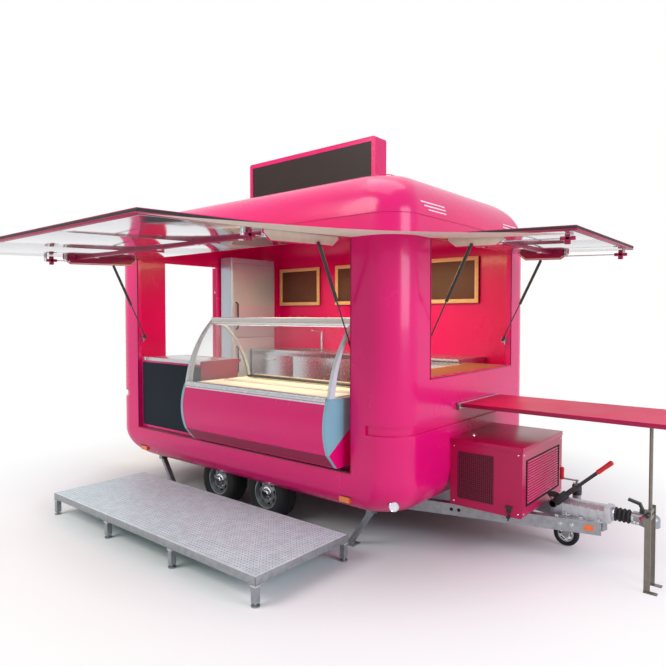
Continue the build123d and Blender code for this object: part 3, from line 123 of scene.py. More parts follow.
def ramp(tree, share, stops, interpolation="LINEAR"):
    """Colour ramp over a share, from (place, colour) stops."""
    made = add(tree, "ShaderNodeValToRGB", {"Fac": share})
    made.color_ramp.interpolation = interpolation
    elements = made.color_ramp.elements
    for element, (place_at, shade) in zip(elements, (stops[0], stops[-1])):
        element.position = place_at
        element.color = shade
    for place_at, shade in stops[1:-1]:
        elements.new(place_at).color = shade
    return made.outputs["Color"]


def finish(
    name, rgb, rough=0.4, metal=0.0, coat=0.0, spread=0.05, grain=30.0, bump=0.05, fine=400.0,
    stretch=(1, 1, 1), glow=0.0, shine=0.5,
):
    """Procedural finish: noise shades the colour and the roughness, and finer noise lifts the surface."""
    made = bpy.data.materials.new(name)
    made.use_nodes = True
    tree = made.node_tree
    shader = tree.nodes["Principled BSDF"]
    shader.inputs["Metallic"].default_value = metal
    shader.inputs["Specular IOR Level"].default_value = shine
    shader.inputs["Coat Weight"].default_value = coat
    shader.inputs["Coat Roughness"].default_value = 0.06
    where = add(tree, "ShaderNodeTexCoord")
    mapping = add(tree, "ShaderNodeMapping", {"Vector": where.outputs["Object"], "Scale": stretch})
    spot = mapping.outputs["Vector"]
    clouds = add(tree, "ShaderNodeTexNoise", {"Vector": spot, "Scale": grain, "Detail": 3.0}).outputs["Fac"]
    shade = ramp(tree, clouds, ((0.3, colour(rgb, 1.0 - spread)), (0.7, colour(rgb, 1.0 + spread))))
    tree.links.new(shade, shader.inputs["Base Color"])
    limits = {"Value": clouds, "To Min": rough * 0.8, "To Max": min(1.0, rough * 1.2)}
    polish = add(tree, "ShaderNodeMapRange", limits)
    tree.links.new(polish.outputs["Result"], shader.inputs["Roughness"])
    if bump:
        pores = add(tree, "ShaderNodeTexNoise", {"Vector": spot, "Scale": fine})
        rise = {"Height": pores.outputs["Fac"], "Strength": bump, "Distance": 0.001}
        tree.links.new(add(tree, "ShaderNodeBump", rise).outputs["Normal"], shader.inputs["Normal"])
    if glow:
        tree.links.new(shade, shader.inputs["Emission Color"])
        shader.inputs["Emission Strength"].default_value = glow
    return made


def clear_pane(name, rgb, low, high, rough=0.03):
    """Glass that shows more of its gloss at a slant."""
    made = finish(name, rgb, rough=rough, spread=0.02, bump=0.0)
    tree = made.node_tree
    slant = add(tree, "ShaderNodeLayerWeight").outputs["Facing"]
    limits = {"Value": slant, "From Min": 0.35, "To Min": low, "To Max": high}
    share = add(tree, "ShaderNodeMapRange", limits)
    tree.links.new(share.outputs["Result"], tree.nodes["Principled BSDF"].inputs["Alpha"])
    return made


def zoned(made, axis, low, high, stops):
    """Tints a pale finish in zones along one of the piece's own axes."""
    tree = made.node_tree
    shader = tree.nodes["Principled BSDF"]
    shaded = shader.inputs["Base Color"].links[0].from_socket
    where = add(tree, "ShaderNodeTexCoord")
    split = add(tree, "ShaderNodeSeparateXYZ", {"Vector": where.outputs["Object"]})
    limits = {"Value": split.outputs[axis], "From Min": low, "From Max": high}
    run = add(tree, "ShaderNodeMapRange", limits).outputs["Result"]
    rows = [((start - low) / (high - low), colour(rgb)) for start, rgb in stops]
    bands = ramp(tree, run, rows, "CONSTANT")
    tint = add(tree, "ShaderNodeMix", data_type="RGBA", blend_type="MULTIPLY")
    tint.inputs["Factor"].default_value = 1.0
    tree.links.new(shaded, tint.inputs[6])
    tree.links.new(bands, tint.inputs[7])
    tree.links.new(tint.outputs[2], shader.inputs["Base Color"])
    return made


PINK = finish(
    "pink_paint", (222, 8, 110), rough=0.26, coat=0.2, spread=0.03, grain=3.0, bump=0.02, fine=220.0,
    shine=0.3,
)
PINK_DARK = finish(
    "pink_shade", (150, 8, 66), rough=0.4, coat=0.1, shine=0.3, spread=0.05, grain=8.0, bump=0.03
)
SIGN_BLACK = finish("sign_panel", (38, 27, 20), rough=0.45, shine=0.25, spread=0.1, grain=14.0, bump=0.03)
ZINC = finish(
    "galvanised", (152, 157, 160), rough=0.42, metal=0.7, spread=0.14, grain=26.0, bump=0.1, fine=180.0
)
CAST = finish(
    "cast_alloy", (190, 193, 198), rough=0.36, metal=0.7, spread=0.08, grain=30.0, bump=0.12, fine=160.0
)
TUBE = finish("table_tube", (122, 117, 108), rough=0.34, metal=0.65, spread=0.1, grain=24.0, bump=0.06)
PINK_BOX = finish(
    "box_paint", (182, 8, 80), rough=0.32, coat=0.15, spread=0.04, grain=4.0, bump=0.03, shine=0.3
)
PINK_TOP = finish("table_paint", (212, 8, 82), rough=0.42, spread=0.04, grain=4.0, bump=0.03, shine=0.15)
BEIGE = finish("lamp_cover", (206, 192, 168), rough=0.45, spread=0.06, grain=18.0, bump=0.04)
TREAD = finish("tread_bars", (150, 158, 178), rough=0.35, metal=0.4, spread=0.08, grain=30.0, bump=0.04)
STEEL = finish(
    "stainless", (196, 198, 202), rough=0.26, metal=0.9, spread=0.06, grain=60.0, bump=0.06,
    stretch=(1, 14, 1),
)
# Base colour raised and tinted blue to cancel the warm light inside the body.
STEEL_UP = finish(
    "stainless_upright", (192, 212, 226), rough=0.3, metal=0.45, spread=0.08, grain=40.0, bump=0.06,
    stretch=(14, 14, 1),
)
MIRROR = finish(
    "flap_lining", (216, 216, 220), rough=0.1, metal=0.92, spread=0.04, grain=4.0, bump=0.02, fine=60.0
)
CHROME = finish("chrome", (224, 226, 230), rough=0.07, metal=1.0, spread=0.03, grain=20.0, bump=0.0)
# Base colour tinted cyan to cancel the pink light bounced onto the deck from the body.
DECK = finish(
    "deck_plate", (210, 230, 234), rough=0.5, metal=0.1, spread=0.1, grain=18.0, bump=0.08, fine=150.0
)
RUBBER = finish("black_rubber", (30, 30, 33), rough=0.75, spread=0.2, grain=60.0, bump=0.25, fine=500.0)
TYRE = finish("tyre", (34, 34, 36), rough=0.82, spread=0.25, grain=50.0, bump=0.3, fine=420.0)
BLACK = finish("black_steel", (20, 20, 22), rough=0.45, coat=0.1, spread=0.15, grain=40.0, bump=0.06)
ROD = finish("rod_steel", (54, 55, 60), rough=0.3, metal=0.7, spread=0.08, grain=50.0, bump=0.02)
WHITE = finish("white_plastic", (238, 237, 233), rough=0.4, spread=0.04, grain=16.0, bump=0.05)
CREAM_SHELL = finish("cream_shell", (236, 230, 216), rough=0.35, coat=0.2, spread=0.04, grain=10.0, bump=0.04)
SLATE = finish(
    "chalkboard", (34, 42, 50), rough=0.7, shine=0.15, spread=0.16, grain=10.0, bump=0.1, fine=260.0
)
WOOD = finish(
    "wood", (150, 98, 62), rough=0.46, spread=0.3, grain=7.0, bump=0.2, fine=90.0, stretch=(2, 22, 22)
)
PALE_WOOD = finish(
    "pale_wood", (226, 190, 140), rough=0.5, spread=0.15, grain=9.0, bump=0.15, fine=90.0,
    stretch=(2, 2, 20),
)
BROWN = finish("board_face", (92, 60, 46), rough=0.55, spread=0.12, grain=9.0, bump=0.06)
CLOTH = finish("awning_cloth", (214, 205, 190), rough=0.9, spread=0.06, grain=220.0, bump=0.5, fine=900.0)
AMBER = finish(
    "amber_lens", (246, 108, 8), rough=0.18, coat=0.5, spread=0.1, grain=120.0, bump=0.2, fine=300.0
)
CLEAR = finish(
    "clear_lens", (232, 234, 236), rough=0.12, coat=0.6, spread=0.06, grain=160.0, bump=0.3, fine=300.0
)
RED_GRIP = finish("red_grip", (206, 30, 40), rough=0.5, spread=0.08, grain=40.0, bump=0.12)
BRASS = finish("brass", (196, 160, 84), rough=0.25, metal=0.9, spread=0.06, grain=50.0, bump=0.03)
LIT = finish("lit_strip", (255, 250, 240), rough=0.5, spread=0.02, grain=20.0, bump=0.0, glow=3.0)
# Near-black fill for holes and grille openings: painted shade of their depths.
HOLE_SHADE = finish("painted_hole_shade", (16, 15, 17), rough=0.85, spread=0.3, grain=40.0, bump=0.1)
WHITE_FILM = finish("white_film", (246, 240, 244), rough=0.3, coat=0.4, spread=0.02, grain=30.0, bump=0.02)
GLASS = clear_pane("glass", (222, 236, 238), 0.045, 0.5)

LENS = finish(
    "lamp_lens", (250, 250, 250), rough=0.15, coat=0.5, spread=0.06, grain=160.0, bump=0.25, fine=300.0
)
LENS_ZONES = (
    (ORIGIN.x - 2.0, (196, 20, 24)), (ORIGIN.x - 1.5, (240, 124, 20)), (ORIGIN.x + 1.5, (232, 234, 238)),
)
zoned(LENS, "X", ORIGIN.x - 2.0, ORIGIN.x + 2.0, LENS_ZONES)
END_FRAME = finish("end_frame", (250, 250, 250), rough=0.34, coat=0.2, spread=0.03, grain=12.0, bump=0.04)
zoned(END_FRAME, "Z", 0.0, 2.0, ((0.0, (128, 186, 198)), (1.152, (206, 218, 222))))

FINISHED_NODES = (
    (PINK, "lower_tub front_wall rear_wall rear_lintel left_wall right_wall roof"),
    (PINK, "sign_frame side_flap front_flap door_leaf case_front_panel"),
    (PINK_DARK, "counter_cabinet"), (PINK_BOX, "cooling_box"), (PINK_TOP, "table_top"),
    (ZINC, "chassis_frame drawbar_beams coupling_head jockey_tube jockey_leg jockey_fork platform_frame"),
    (CAST, "overrun_housing"), (TUBE, "table_steel"), (DECK, "platform_deck"), (TYRE, "jockey_wheel"),
    (STEEL, "hinge_fittings sink_worktop case_carcass"), (STEEL_UP, "fridge"), (END_FRAME, "case_cheeks"),
    # The cooling grilles take the near-black fill: painted shade behind their openings.
    (BLACK, "axles hand_levers"), (RUBBER, "gaiter"), (HOLE_SHADE, "cooling_grilles"), (SLATE, "chalkboard"),
    (SIGN_BLACK, "sign_panels"), (WOOD, "front_counter"), (BROWN, "menu_boards"), (CLOTH, "corner_canopy"),
    (LENS, "lamps"), (GLASS, "case_glass"), (CREAM_SHELL, "case_canopy"), (WHITE, "case_tubs"),
)
NODE_FINISH = {node: made for made, names in FINISHED_NODES for node in names.split()}
for flap in ("side", "front"):
    for end in "ab":
        NODE_FINISH[f"{flap}_strut_{end}_cylinder"] = BLACK
        NODE_FINISH[f"{flap}_strut_{end}_rod"] = ROD
for end in ("front", "rear"):
    for side in ("right", "left"):
        NODE_FINISH[f"steady_{end}_{side}"] = ZINC
        NODE_FINISH[f"wheel_{end}_{side}"] = TYRE
for node, made in NODE_FINISH.items():
    mesh = NODES[node].data
    mesh.materials.clear()
    mesh.materials.append(made)


# Mesh builder


def linked(name, data):
    """Object of the scene that shows a mesh, a light or a camera."""
    made = bpy.data.objects.new(name, data)
    bpy.context.scene.collection.objects.link(made)
    return made


def round_edges(part, width, steps):
    bmesh.ops.bevel(
        part, geom=part.edges[:], offset=width, segments=steps, profile=0.6, affect="EDGES",
        clamp_overlap=True,
    )


class Shape:
    """Solids gathered into one mesh, given in body metres."""

    def __init__(self):
        self.mesh = bmesh.new()

    def take(self, part):
        copied = bpy.data.meshes.new("part")
        part.to_mesh(copied)
        part.free()
        self.mesh.from_mesh(copied)
        bpy.data.meshes.remove(copied)

    def box(self, low, high, bevel=0.003, turn=None, steps=2):
        """Bevelled block between two corners, turned about its middle if asked."""
        low, high = Vector(low), Vector(high)
        size = high - low
        part = bmesh.new()
        bmesh.ops.create_cube(part, size=1.0)
        bmesh.ops.scale(part, vec=size, verts=part.verts)
        if bevel:
            width = min(bevel, min(size) * 0.45)
            round_edges(part, width, steps)
        if turn is not None:
            bmesh.ops.rotate(part, cent=(0, 0, 0), matrix=turn, verts=part.verts)
        bmesh.ops.translate(part, vec=(low + high) / 2, verts=part.verts)
        self.take(part)
        return self

    def bar(self, start, stop, wide, thick, bevel=0.003, steps=2):
        """Bevelled bar from one point to another."""
        start, stop = Vector(start), Vector(stop)
        along = stop - start
        part = bmesh.new()
        bmesh.ops.create_cube(part, size=1.0)
        bmesh.ops.scale(part, vec=(wide, thick, along.length), verts=part.verts)
        if bevel:
            width = min(bevel, min(wide, thick) * 0.45)
            round_edges(part, width, steps)
        upright = along.normalized().to_track_quat("Z", "Y").to_matrix()
        bmesh.ops.rotate(part, cent=(0, 0, 0), matrix=upright, verts=part.verts)
        bmesh.ops.translate(part, vec=(start + stop) / 2, verts=part.verts)
        self.take(part)
        return self

    def skin(self, rings, sides, closed):
        """Faces between rings of points, some of which may be a single point."""
        part = self.mesh
        pairs = list(zip(rings, rings[1:]))
        if closed:
            pairs.append((rings[-1], rings[0]))
        for first, second in pairs:
            for k in range(sides):
                n = (k + 1) % sides
                if len(first) == 1 and len(second) == 1:
                    continue
                if len(first) == 1:
                    part.faces.new((first[0], second[n], second[k]))
                elif len(second) == 1:
                    part.faces.new((first[k], first[n], second[0]))
                else:
                    part.faces.new((first[k], first[n], second[n], second[k]))
        return self

    def lathe(self, profile, centre, axis, sides=24, closed=False):
        """Ring of (radius, along) points turned about an axis through a centre."""
        axis = Vector(axis).normalized()
        turn = axis.to_track_quat("Z", "Y").to_matrix()
        centre = Vector(centre)
        part = self.mesh
        rings = []
        for radius, along in profile:
            if radius < 1e-6:
                rings.append([part.verts.new(centre + turn @ Vector((0, 0, along)))])
                continue
            ring = []
            for k in range(sides):
                angle = 2 * math.pi * k / sides
                spot = Vector((radius * math.cos(angle), radius * math.sin(angle), along))
                ring.append(part.verts.new(centre + turn @ spot))
            rings.append(ring)
        return self.skin(rings, sides, closed)

    def rod(self, start, stop, radius, sides=14, edge=0.12):
        """Round rod with chamfered ends."""
        start, stop = Vector(start), Vector(stop)
        length = (stop - start).length
        cut = min(radius * edge, length / 4)
        profile = [
            (0, 0), (radius - cut, 0), (radius, cut), (radius, length - cut), (radius - cut, length),
            (0, length),
        ]
        return self.lathe(profile, start, stop - start, sides)

    def tube(self, points, radius, sides=10, closed=False):
        """Round section swept through points, with flat ends."""
        points = [Vector(p) for p in points]
        part = self.mesh
        rings = []
        count = len(points)
        side = None
        for k, point in enumerate(points):
            before = points[k - 1] if k or closed else points[k]
            after = points[(k + 1) % count] if k < count - 1 or closed else points[k]
            along = (after - before).normalized()
            if side is None:
                side = along.orthogonal().normalized()
            side = (side - along * side.dot(along)).normalized()
            other = along.cross(side)
            ring = []
            for n in range(sides):
                angle = 2 * math.pi * n / sides
                ring.append(
                    part.verts.new(point + radius * (side * math.cos(angle) + other * math.sin(angle)))
                )
            rings.append(ring)
        self.skin(rings, sides, closed)
        if not closed:
            part.faces.new(list(reversed(rings[0])))
            part.faces.new(rings[-1])
        return self

    def prism(self, outline, depth):
        """Flat outline carried along a vector."""
        depth = Vector(depth)
        part = self.mesh
        first = [part.verts.new(Vector(p)) for p in outline]
        second = [part.verts.new(Vector(p) + depth) for p in outline]
        count = len(first)
        part.faces.new(list(reversed(first)))
        part.faces.new(second)
        for k in range(count):
            n = (k + 1) % count
            part.faces.new((first[k], first[n], second[n], second[k]))
        return self

    def strip(self, rows):
        """Quads between rows of points."""
        part = self.mesh
        made = [[part.verts.new(Vector(p)) for p in row] for row in rows]
        for first, second in zip(made, made[1:]):
            for k in range(len(first) - 1):
                part.faces.new((first[k], first[k + 1], second[k + 1], second[k]))
        return self

    def mapped(self, change):
        """Moves every point by a rule."""
        for vert in self.mesh.verts:
            vert.co = change(*vert.co)
        return self

    def done(self, name, made, body, slot=None, angle=32.0, outward=True):
        """Turns the mesh into a piece that rides on a CAD body."""
        if outward:
            bmesh.ops.recalc_face_normals(self.mesh, faces=self.mesh.faces)
        bmesh.ops.translate(self.mesh, vec=ORIGIN, verts=self.mesh.verts)
        for face in self.mesh.faces:
            face.smooth = True
        limit = math.radians(angle)
        for edge in self.mesh.edges:
            edge.smooth = not (edge.is_manifold and edge.calc_face_angle(0.0) > limit)
        mesh = bpy.data.meshes.new(name)
        self.mesh.to_mesh(mesh)
        self.mesh.free()
        mesh.materials.append(made)
        piece = linked(name, mesh)
        if body:
            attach(piece, body)
        return piece


# Wheels


def polar_plate(shape, centre, axis, rings, sectors, hollow, thick):
    """Round plate of (radius, along) rings with cells left out, of one thickness."""
    turn = Vector(axis).normalized().to_track_quat("Z", "Y").to_matrix()
    centre = Vector(centre)
    part = shape.mesh
    faces = {}
    for layer, drop in ((0, 0.0), (1, thick)):
        for r, (radius, along) in enumerate(rings):
            for k in range(sectors):
                angle = 2 * math.pi * k / sectors
                spot = Vector((radius * math.cos(angle), radius * math.sin(angle), along - drop))
                faces[layer, r, k] = part.verts.new(centre + turn @ spot)
    kept = {(r, k) for r in range(len(rings) - 1) for k in range(sectors) if not hollow(r, k)}
    for r, k in kept:
        n = (k + 1) % sectors
        for layer in (0, 1):
            part.faces.new(
                (faces[layer, r, k], faces[layer, r + 1, k], faces[layer, r + 1, n], faces[layer, r, n])
            )
        around = (
            ((r - 1, k), (r, k), (r, n)),
            ((r + 1, k), (r + 1, k), (r + 1, n)),
            ((r, (k - 1) % sectors), (r, k), (r + 1, k)),
            ((r, n), (r, n), (r + 1, n)),
        )
        for other, a, b in around:
            if other not in kept:
                part.faces.new(
                    (faces[0, a[0], a[1]], faces[0, b[0], b[1]], faces[1, b[0], b[1]], faces[1, a[0], a[1]])
                )


TYRE_SECTION = (
    (0.130, -0.077), (0.152, -0.092), (0.180, -0.095), (0.207, -0.087), (0.2225, -0.068), (0.226, -0.038),
    (0.2195, -0.034), (0.2195, -0.024), (0.226, -0.020), (0.226, 0.020), (0.2195, 0.024), (0.2195, 0.034),
    (0.226, 0.038), (0.2225, 0.068), (0.207, 0.087), (0.180, 0.095), (0.152, 0.092), (0.130, 0.077),
)
RIM_SECTION = (
    (0.1297, -0.076), (0.118, -0.080), (0.115, -0.050), (0.110, 0.030), (0.118, 0.055), (0.119, 0.078),
    (0.1297, 0.080),
)
DISC_RINGS = ((0.110, 0.044), (0.100, 0.054), (0.080, 0.059), (0.066, 0.056), (0.040, 0.056))
HUB_SECTION = (
    (0.052, 0.050), (0.052, 0.061), (0.046, 0.064), (0.040, 0.064), (0.037, 0.084), (0.030, 0.091),
    (0.0, 0.093),
)
WHEEL_NUTS = 5
NUT_CIRCLE = 0.0585


def road_wheels():
    for end in ("front", "rear"):
        for side_name, side in (("right", -1), ("left", 1)):
            node = f"wheel_{end}_{side_name}"
            low, high = node_box(node)
            centre = (low + high) / 2
            out = Vector((0, side, 0))
            tyre = Shape().lathe(TYRE_SECTION, centre, out, 38).done(f"{node}_tyre", TYRE, node, "tyre", 40)
            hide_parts(node)
            rim = Shape().lathe(RIM_SECTION, centre, out, 48)
            polar_plate(rim, centre, out, DISC_RINGS, 48, lambda r, k: r == 1 and k % 6 < 3, 0.004)
            rim.done(f"{node}_rim", ZINC, node, "galvanised")
            cap = Shape().lathe(HUB_SECTION, centre, out, 28)
            for k in range(WHEEL_NUTS):
                angle = 2 * math.pi * k / WHEEL_NUTS + 0.3
                seat = centre + Vector(
                    (NUT_CIRCLE * math.cos(angle), side * 0.055, NUT_CIRCLE * math.sin(angle))
                )
                cap.lathe(((0.009, 0), (0.009, 0.009), (0.006, 0.013), (0.0, 0.0135)), seat, out, 6)
            valve = centre + Vector((0.098 * math.cos(0.9), side * 0.050, 0.098 * math.sin(0.9)))
            cap.rod(valve, valve + Vector((0, side * 0.026, 0)), 0.004, 8)
            cap.done(f"{node}_cap", CHROME, node, "stainless")


JOCKEY_TYRE = (
    (0.058, -0.020), (0.068, -0.0255), (0.080, -0.0265), (0.088, -0.022), (0.092, -0.012),
    (0.092, 0.012), (0.088, 0.022), (0.080, 0.0265), (0.068, 0.0255), (0.058, 0.020),
)


def jockey_details():
    low, high = node_box("jockey_wheel")
    centre = (low + high) / 2
    tyre = Shape().lathe(JOCKEY_TYRE, centre, (0, 1, 0), 30, closed=True)
    tyre = tyre.done("jockey_tyre", TYRE, "jockey_wheel", "tyre", 40)
    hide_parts("jockey_wheel")
    hub = Shape()
    for side in (-1, 1):
        out = (0, side, 0)
        rings = ((0.0585, 0.019), (0.050, 0.016), (0.030, 0.014), (0.022, 0.020), (0.0082, 0.024))
        polar_plate(hub, centre, out, rings, 40, lambda r, k: r == 1 and k % 8 < 5, 0.006)
        hub.lathe(((0.0582, 0.006), (0.0582, 0.021), (0.054, 0.022), (0.052, 0.017)), centre, out, 30)
    hub.done("jockey_hub", STEEL, "jockey_wheel", "stainless")
    low, high = node_box("jockey_tube")
    grip_x = low.x + 0.012
    grip = Shape().lathe(
        (
            (0.0, -0.004), (0.014, -0.002), (0.0165, 0.008), (0.0145, 0.04), (0.0165, 0.078),
            (0.013, 0.088), (0.0, 0.09),
        ),
        (grip_x, JOCKEY_Y, high.z - 0.084), (0, 0, 1), 18,
    )
    grip.done("jockey_crank_grip", RED_GRIP, "root", "black_rubber")
    clamp = Shape()
    for z in (0.262, 0.336):
        clamp.lathe(
            ((0.0302, -0.011), (0.0345, -0.009), (0.0345, 0.009), (0.0302, 0.011)), (JOCKEY_X, JOCKEY_Y, z),
            (0, 0, 1), 24,
        )
    bolt_y, bolt_z = JOCKEY_Y + 0.031, 0.275
    clamp.rod((JOCKEY_X - 0.03, bolt_y, bolt_z), (JOCKEY_X + 0.055, bolt_y, bolt_z), 0.006)
    clamp.bar((JOCKEY_X + 0.052, bolt_y, bolt_z), (JOCKEY_X + 0.052, bolt_y, bolt_z + 0.070), 0.014, 0.008)
    cap = Shape()
    section = ((0.0302, 0.0), (0.034, 0.002), (0.034, 0.066), (0.031, 0.072), (0.0302, 0.072))
    cap.lathe(section, (JOCKEY_X, JOCKEY_Y, 0.400), (0, 0, 1), 26, closed=True)
    cap.done("jockey_tube_cap", BLACK, "root", "black_steel")
    clamp.done("jockey_clamp_bands", STEEL, "root", "stainless")


# Step platform


def platform_details():
    low, high = node_box("platform_deck")
    pitch = 0.028
    long_half, wide_half, rise = 0.0122, 0.0046, 0.0018
    bars = Shape()
    part = bars.mesh
    columns = int((high.x - low.x - 0.02) / pitch)
    rows = int((high.y - low.y - 0.02) / pitch)
    x0 = (low.x + high.x) / 2 - (columns - 1) * pitch / 2
    y0 = (low.y + high.y) / 2 - (rows - 1) * pitch / 2
    for column in range(columns):
        for row in range(rows):
            lean = 1 if (column + row) % 2 else -1
            along = Vector((0.7071, 0.7071 * lean, 0))
            across = Vector((-along.y, along.x, 0))
            middle = Vector((x0 + column * pitch, y0 + row * pitch, high.z - 0.0004))
            tips = [part.verts.new(middle + along * (long_half * s)) for s in (-1, 1)]
            sides = [part.verts.new(middle + across * (wide_half * s)) for s in (-1, 1)]
            ridge = middle + Vector((0, 0, rise))
            crest = [part.verts.new(ridge + along * (long_half * 0.55 * s)) for s in (-1, 1)]
            part.faces.new((tips[0], sides[0], crest[0]))
            part.faces.new((sides[1], tips[0], crest[0]))
            part.faces.new((tips[1], sides[1], crest[1]))
            part.faces.new((sides[0], tips[1], crest[1]))
            part.faces.new((sides[0], crest[1], crest[0]))
            part.faces.new((sides[1], crest[0], crest[1]))
    bars.done("platform_tread_bars", TREAD, "root", "deck_plate", 60)
    edge = Shape()
    for y in (low.y, high.y):
        edge.box(
            (low.x - 0.002, y - 0.002, high.z - 0.046), (high.x + 0.002, y + 0.002, high.z + 0.0008), 0.0012
        )
    for x in (low.x, high.x):
        edge.box(
            (x - 0.002, low.y - 0.002, high.z - 0.046), (x + 0.002, high.y + 0.002, high.z + 0.0008), 0.0012
        )
    edge.done("platform_edge_angle", ZINC, "root", "galvanised")
    feet = Shape()
    steps = 3
    for k in range(steps + 1):
        x = low.x + 0.02 + (high.x - low.x - 0.04) * k / steps
        for y in (low.y + 0.02, high.y - 0.02):
            feet.lathe(
                ((0.015, 0.030), (0.015, 0.022), (0.009, 0.022), (0.009, 0.010)), (x, y, 0.0), (0, 0, 1), 6
            )
            feet.box((x - 0.026, y - 0.026, 0.120), (x + 0.026, y + 0.026, 0.134), 0.004)
    feet.done("platform_foot_nuts", STEEL, "root", "stainless")


# Flaps: points by place along the hinge, distance from the hinge and depth towards the underside

AXIS_Z = 2.29
OPEN = math.radians(-88.0)


def side_point(u, v, w):
    y = w * math.cos(OPEN) + v * math.sin(OPEN)
    z = w * math.sin(OPEN) - v * math.cos(OPEN)
    return Vector((u, SIDE_AXIS_Y + y, AXIS_Z + z))


def front_point(u, v, w):
    y = w * math.cos(OPEN) + v * math.sin(OPEN)
    z = w * math.sin(OPEN) - v * math.cos(OPEN)
    return Vector((FRONT_AXIS_X - y, u, AXIS_Z + z))


FLAPS = (
    # name, point rule, opening's half width, length, lining seams,
    # arm start and end, light bar's place, spots, latch's place
    ("side", side_point, SERVE_HALF, 1.654, (-0.44, 0.44), 0.070, 0.780, 0.650, 5, 0.885),
    ("front", front_point, WINDOW_HALF, 0.994, (0.0,), 0.110, 0.530, 0.380, 3, 0.925),
)


def arm_outline(u, start, stop, inset):
    """Outline of a flap arm's face, drawn in from its edge."""
    deep, shoulder, root = 0.082 - inset, 0.037 - 0.4 * inset, 0.0185
    return [
        (u, start + inset, root), (u, start + inset, shoulder), (u, start + 0.062 + 0.3 * inset, deep),
        (u, stop - 0.062 - 0.3 * inset, deep), (u, stop - inset, shoulder), (u, stop - inset, root),
    ]


def flap_details():
    for name, rule, opening, length, seams, arm_start, arm_end, bar_v, spot_count, latch_v in FLAPS:
        body = f"{name}_flap"
        half = opening - FLAP_GAP
        latch_us = (ARM_INSET - opening, opening - ARM_INSET)
        lining = Shape()
        stops = [-half + 0.022, *seams, half - 0.022]
        for left, right in zip(stops, stops[1:]):
            lining.box((left + 0.002, 0.045, 0.0148), (right - 0.002, length - 0.03, 0.0182), 0.0012)
        lining.mapped(rule).done(f"{body}_lining", MIRROR, body, "stainless")
        seal = Shape()
        seal.box((-half - 0.004, length - 0.007, -0.012), (half + 0.004, length + 0.004, 0.005), 0.004)
        for side in (-1, 1):
            low, high = sorted((side * (half - 0.005), side * (half + 0.005)))
            seal.box((low, 0.02, -0.012), (high, length, 0.005), 0.004)
        seal.mapped(rule).done(f"{body}_edge_seal", RUBBER, body, "black_rubber")
        rim = Shape()
        for side in (-1, 1):
            low, high = sorted((side * (half - 0.028), side * half))
            rim.box((low, 0.03, 0.0145), (high, length - 0.002, 0.0172), 0.001)
            low, high = sorted((side * (half - 0.004), side * (half + 0.003)))
            rim.box((low, 0.03, 0.004), (high, length - 0.002, 0.0168), 0.002)
        rim.box((-half, length - 0.034, 0.0145), (half, length - 0.004, 0.0172), 0.001)
        rim.box((-half, length - 0.005, 0.004), (half, length + 0.003, 0.0168), 0.002)
        rim.mapped(rule).done(f"{body}_rim", PINK_DARK, body, "pink_paint")
        stays = Shape()
        latches = Shape()
        for u in latch_us:
            tail = latch_v + min(0.30 * (length - latch_v), 0.05)
            stays.rod((u, arm_end - 0.06, 0.055), (u, tail, 0.055), 0.004, 8)
            stays.box((u - 0.012, arm_end - 0.03, 0.015), (u + 0.012, arm_end - 0.006, 0.062), 0.003)
            stays.box((u - 0.010, tail - 0.012, 0.016), (u + 0.010, tail + 0.010, 0.062), 0.003)
            latches.box((u - 0.011, latch_v - 0.046, 0.043), (u + 0.011, latch_v + 0.046, 0.067), 0.005)
            latches.box((u - 0.011, latch_v - 0.017, 0.020), (u + 0.011, latch_v + 0.017, 0.092), 0.005)
        stays.mapped(rule).done(f"{body}_stay_rods", STEEL, body, "stainless")
        latches.mapped(rule).done(f"{body}_latches", PINK_DARK, body, "pink_paint")
        cover = Shape()
        reach = latch_us[1] - 0.002
        cover.box((-reach, bar_v - 0.0245, 0.0145), (reach, bar_v + 0.0245, 0.0395), 0.005)
        cover.mapped(rule).done(f"{body}_light_bar", PINK_DARK, body, "pink_paint")
        faces, hearts = Shape(), Shape()
        for u in latch_us:
            out = 1 if u > 0 else -1
            for place_u, turn in ((u + out * ARM_THICK, out), (u, -out)):
                faces.prism(arm_outline(place_u, arm_start, arm_end, 0.005), (turn * 0.0012, 0, 0))
            hearts.prism(arm_outline(u - out * 0.001, arm_start, arm_end, 0.014), (-out * 0.0012, 0, 0))
        faces.mapped(rule).done(f"{body}_arm_plates", BEIGE, body, "white_plastic")
        hearts.mapped(rule).done(f"{body}_arm_hearts", PINK_DARK, body, "pink_paint")
        lights = Shape()
        pitch = (2 * half - 0.5) / (spot_count - 1) * 0.86
        for k in range(spot_count):
            u = (k - (spot_count - 1) / 2) * pitch
            ring = ((0.0, 0.042), (0.012, 0.042), (0.0165, 0.0455), (0.019, 0.0435), (0.019, 0.0375))
            lights.lathe(ring, (u, bar_v, 0.0), (0, 0, 1), 18)
        lights.mapped(rule).done(f"{body}_spots", CLEAR, body, "lamp")
        joints = Shape()
        for u in (-half + 0.16, 0.0, half - 0.16):
            joints.rod((u - 0.055, 0.0, -0.012), (u + 0.055, 0.0, -0.012), 0.0075, 12)
            joints.box((u - 0.05, 0.006, -0.0185), (u + 0.05, 0.07, -0.0148), 0.0015)
        joints.mapped(rule).done(f"{body}_hinge_leaves", PINK_DARK, body, "pink_paint")


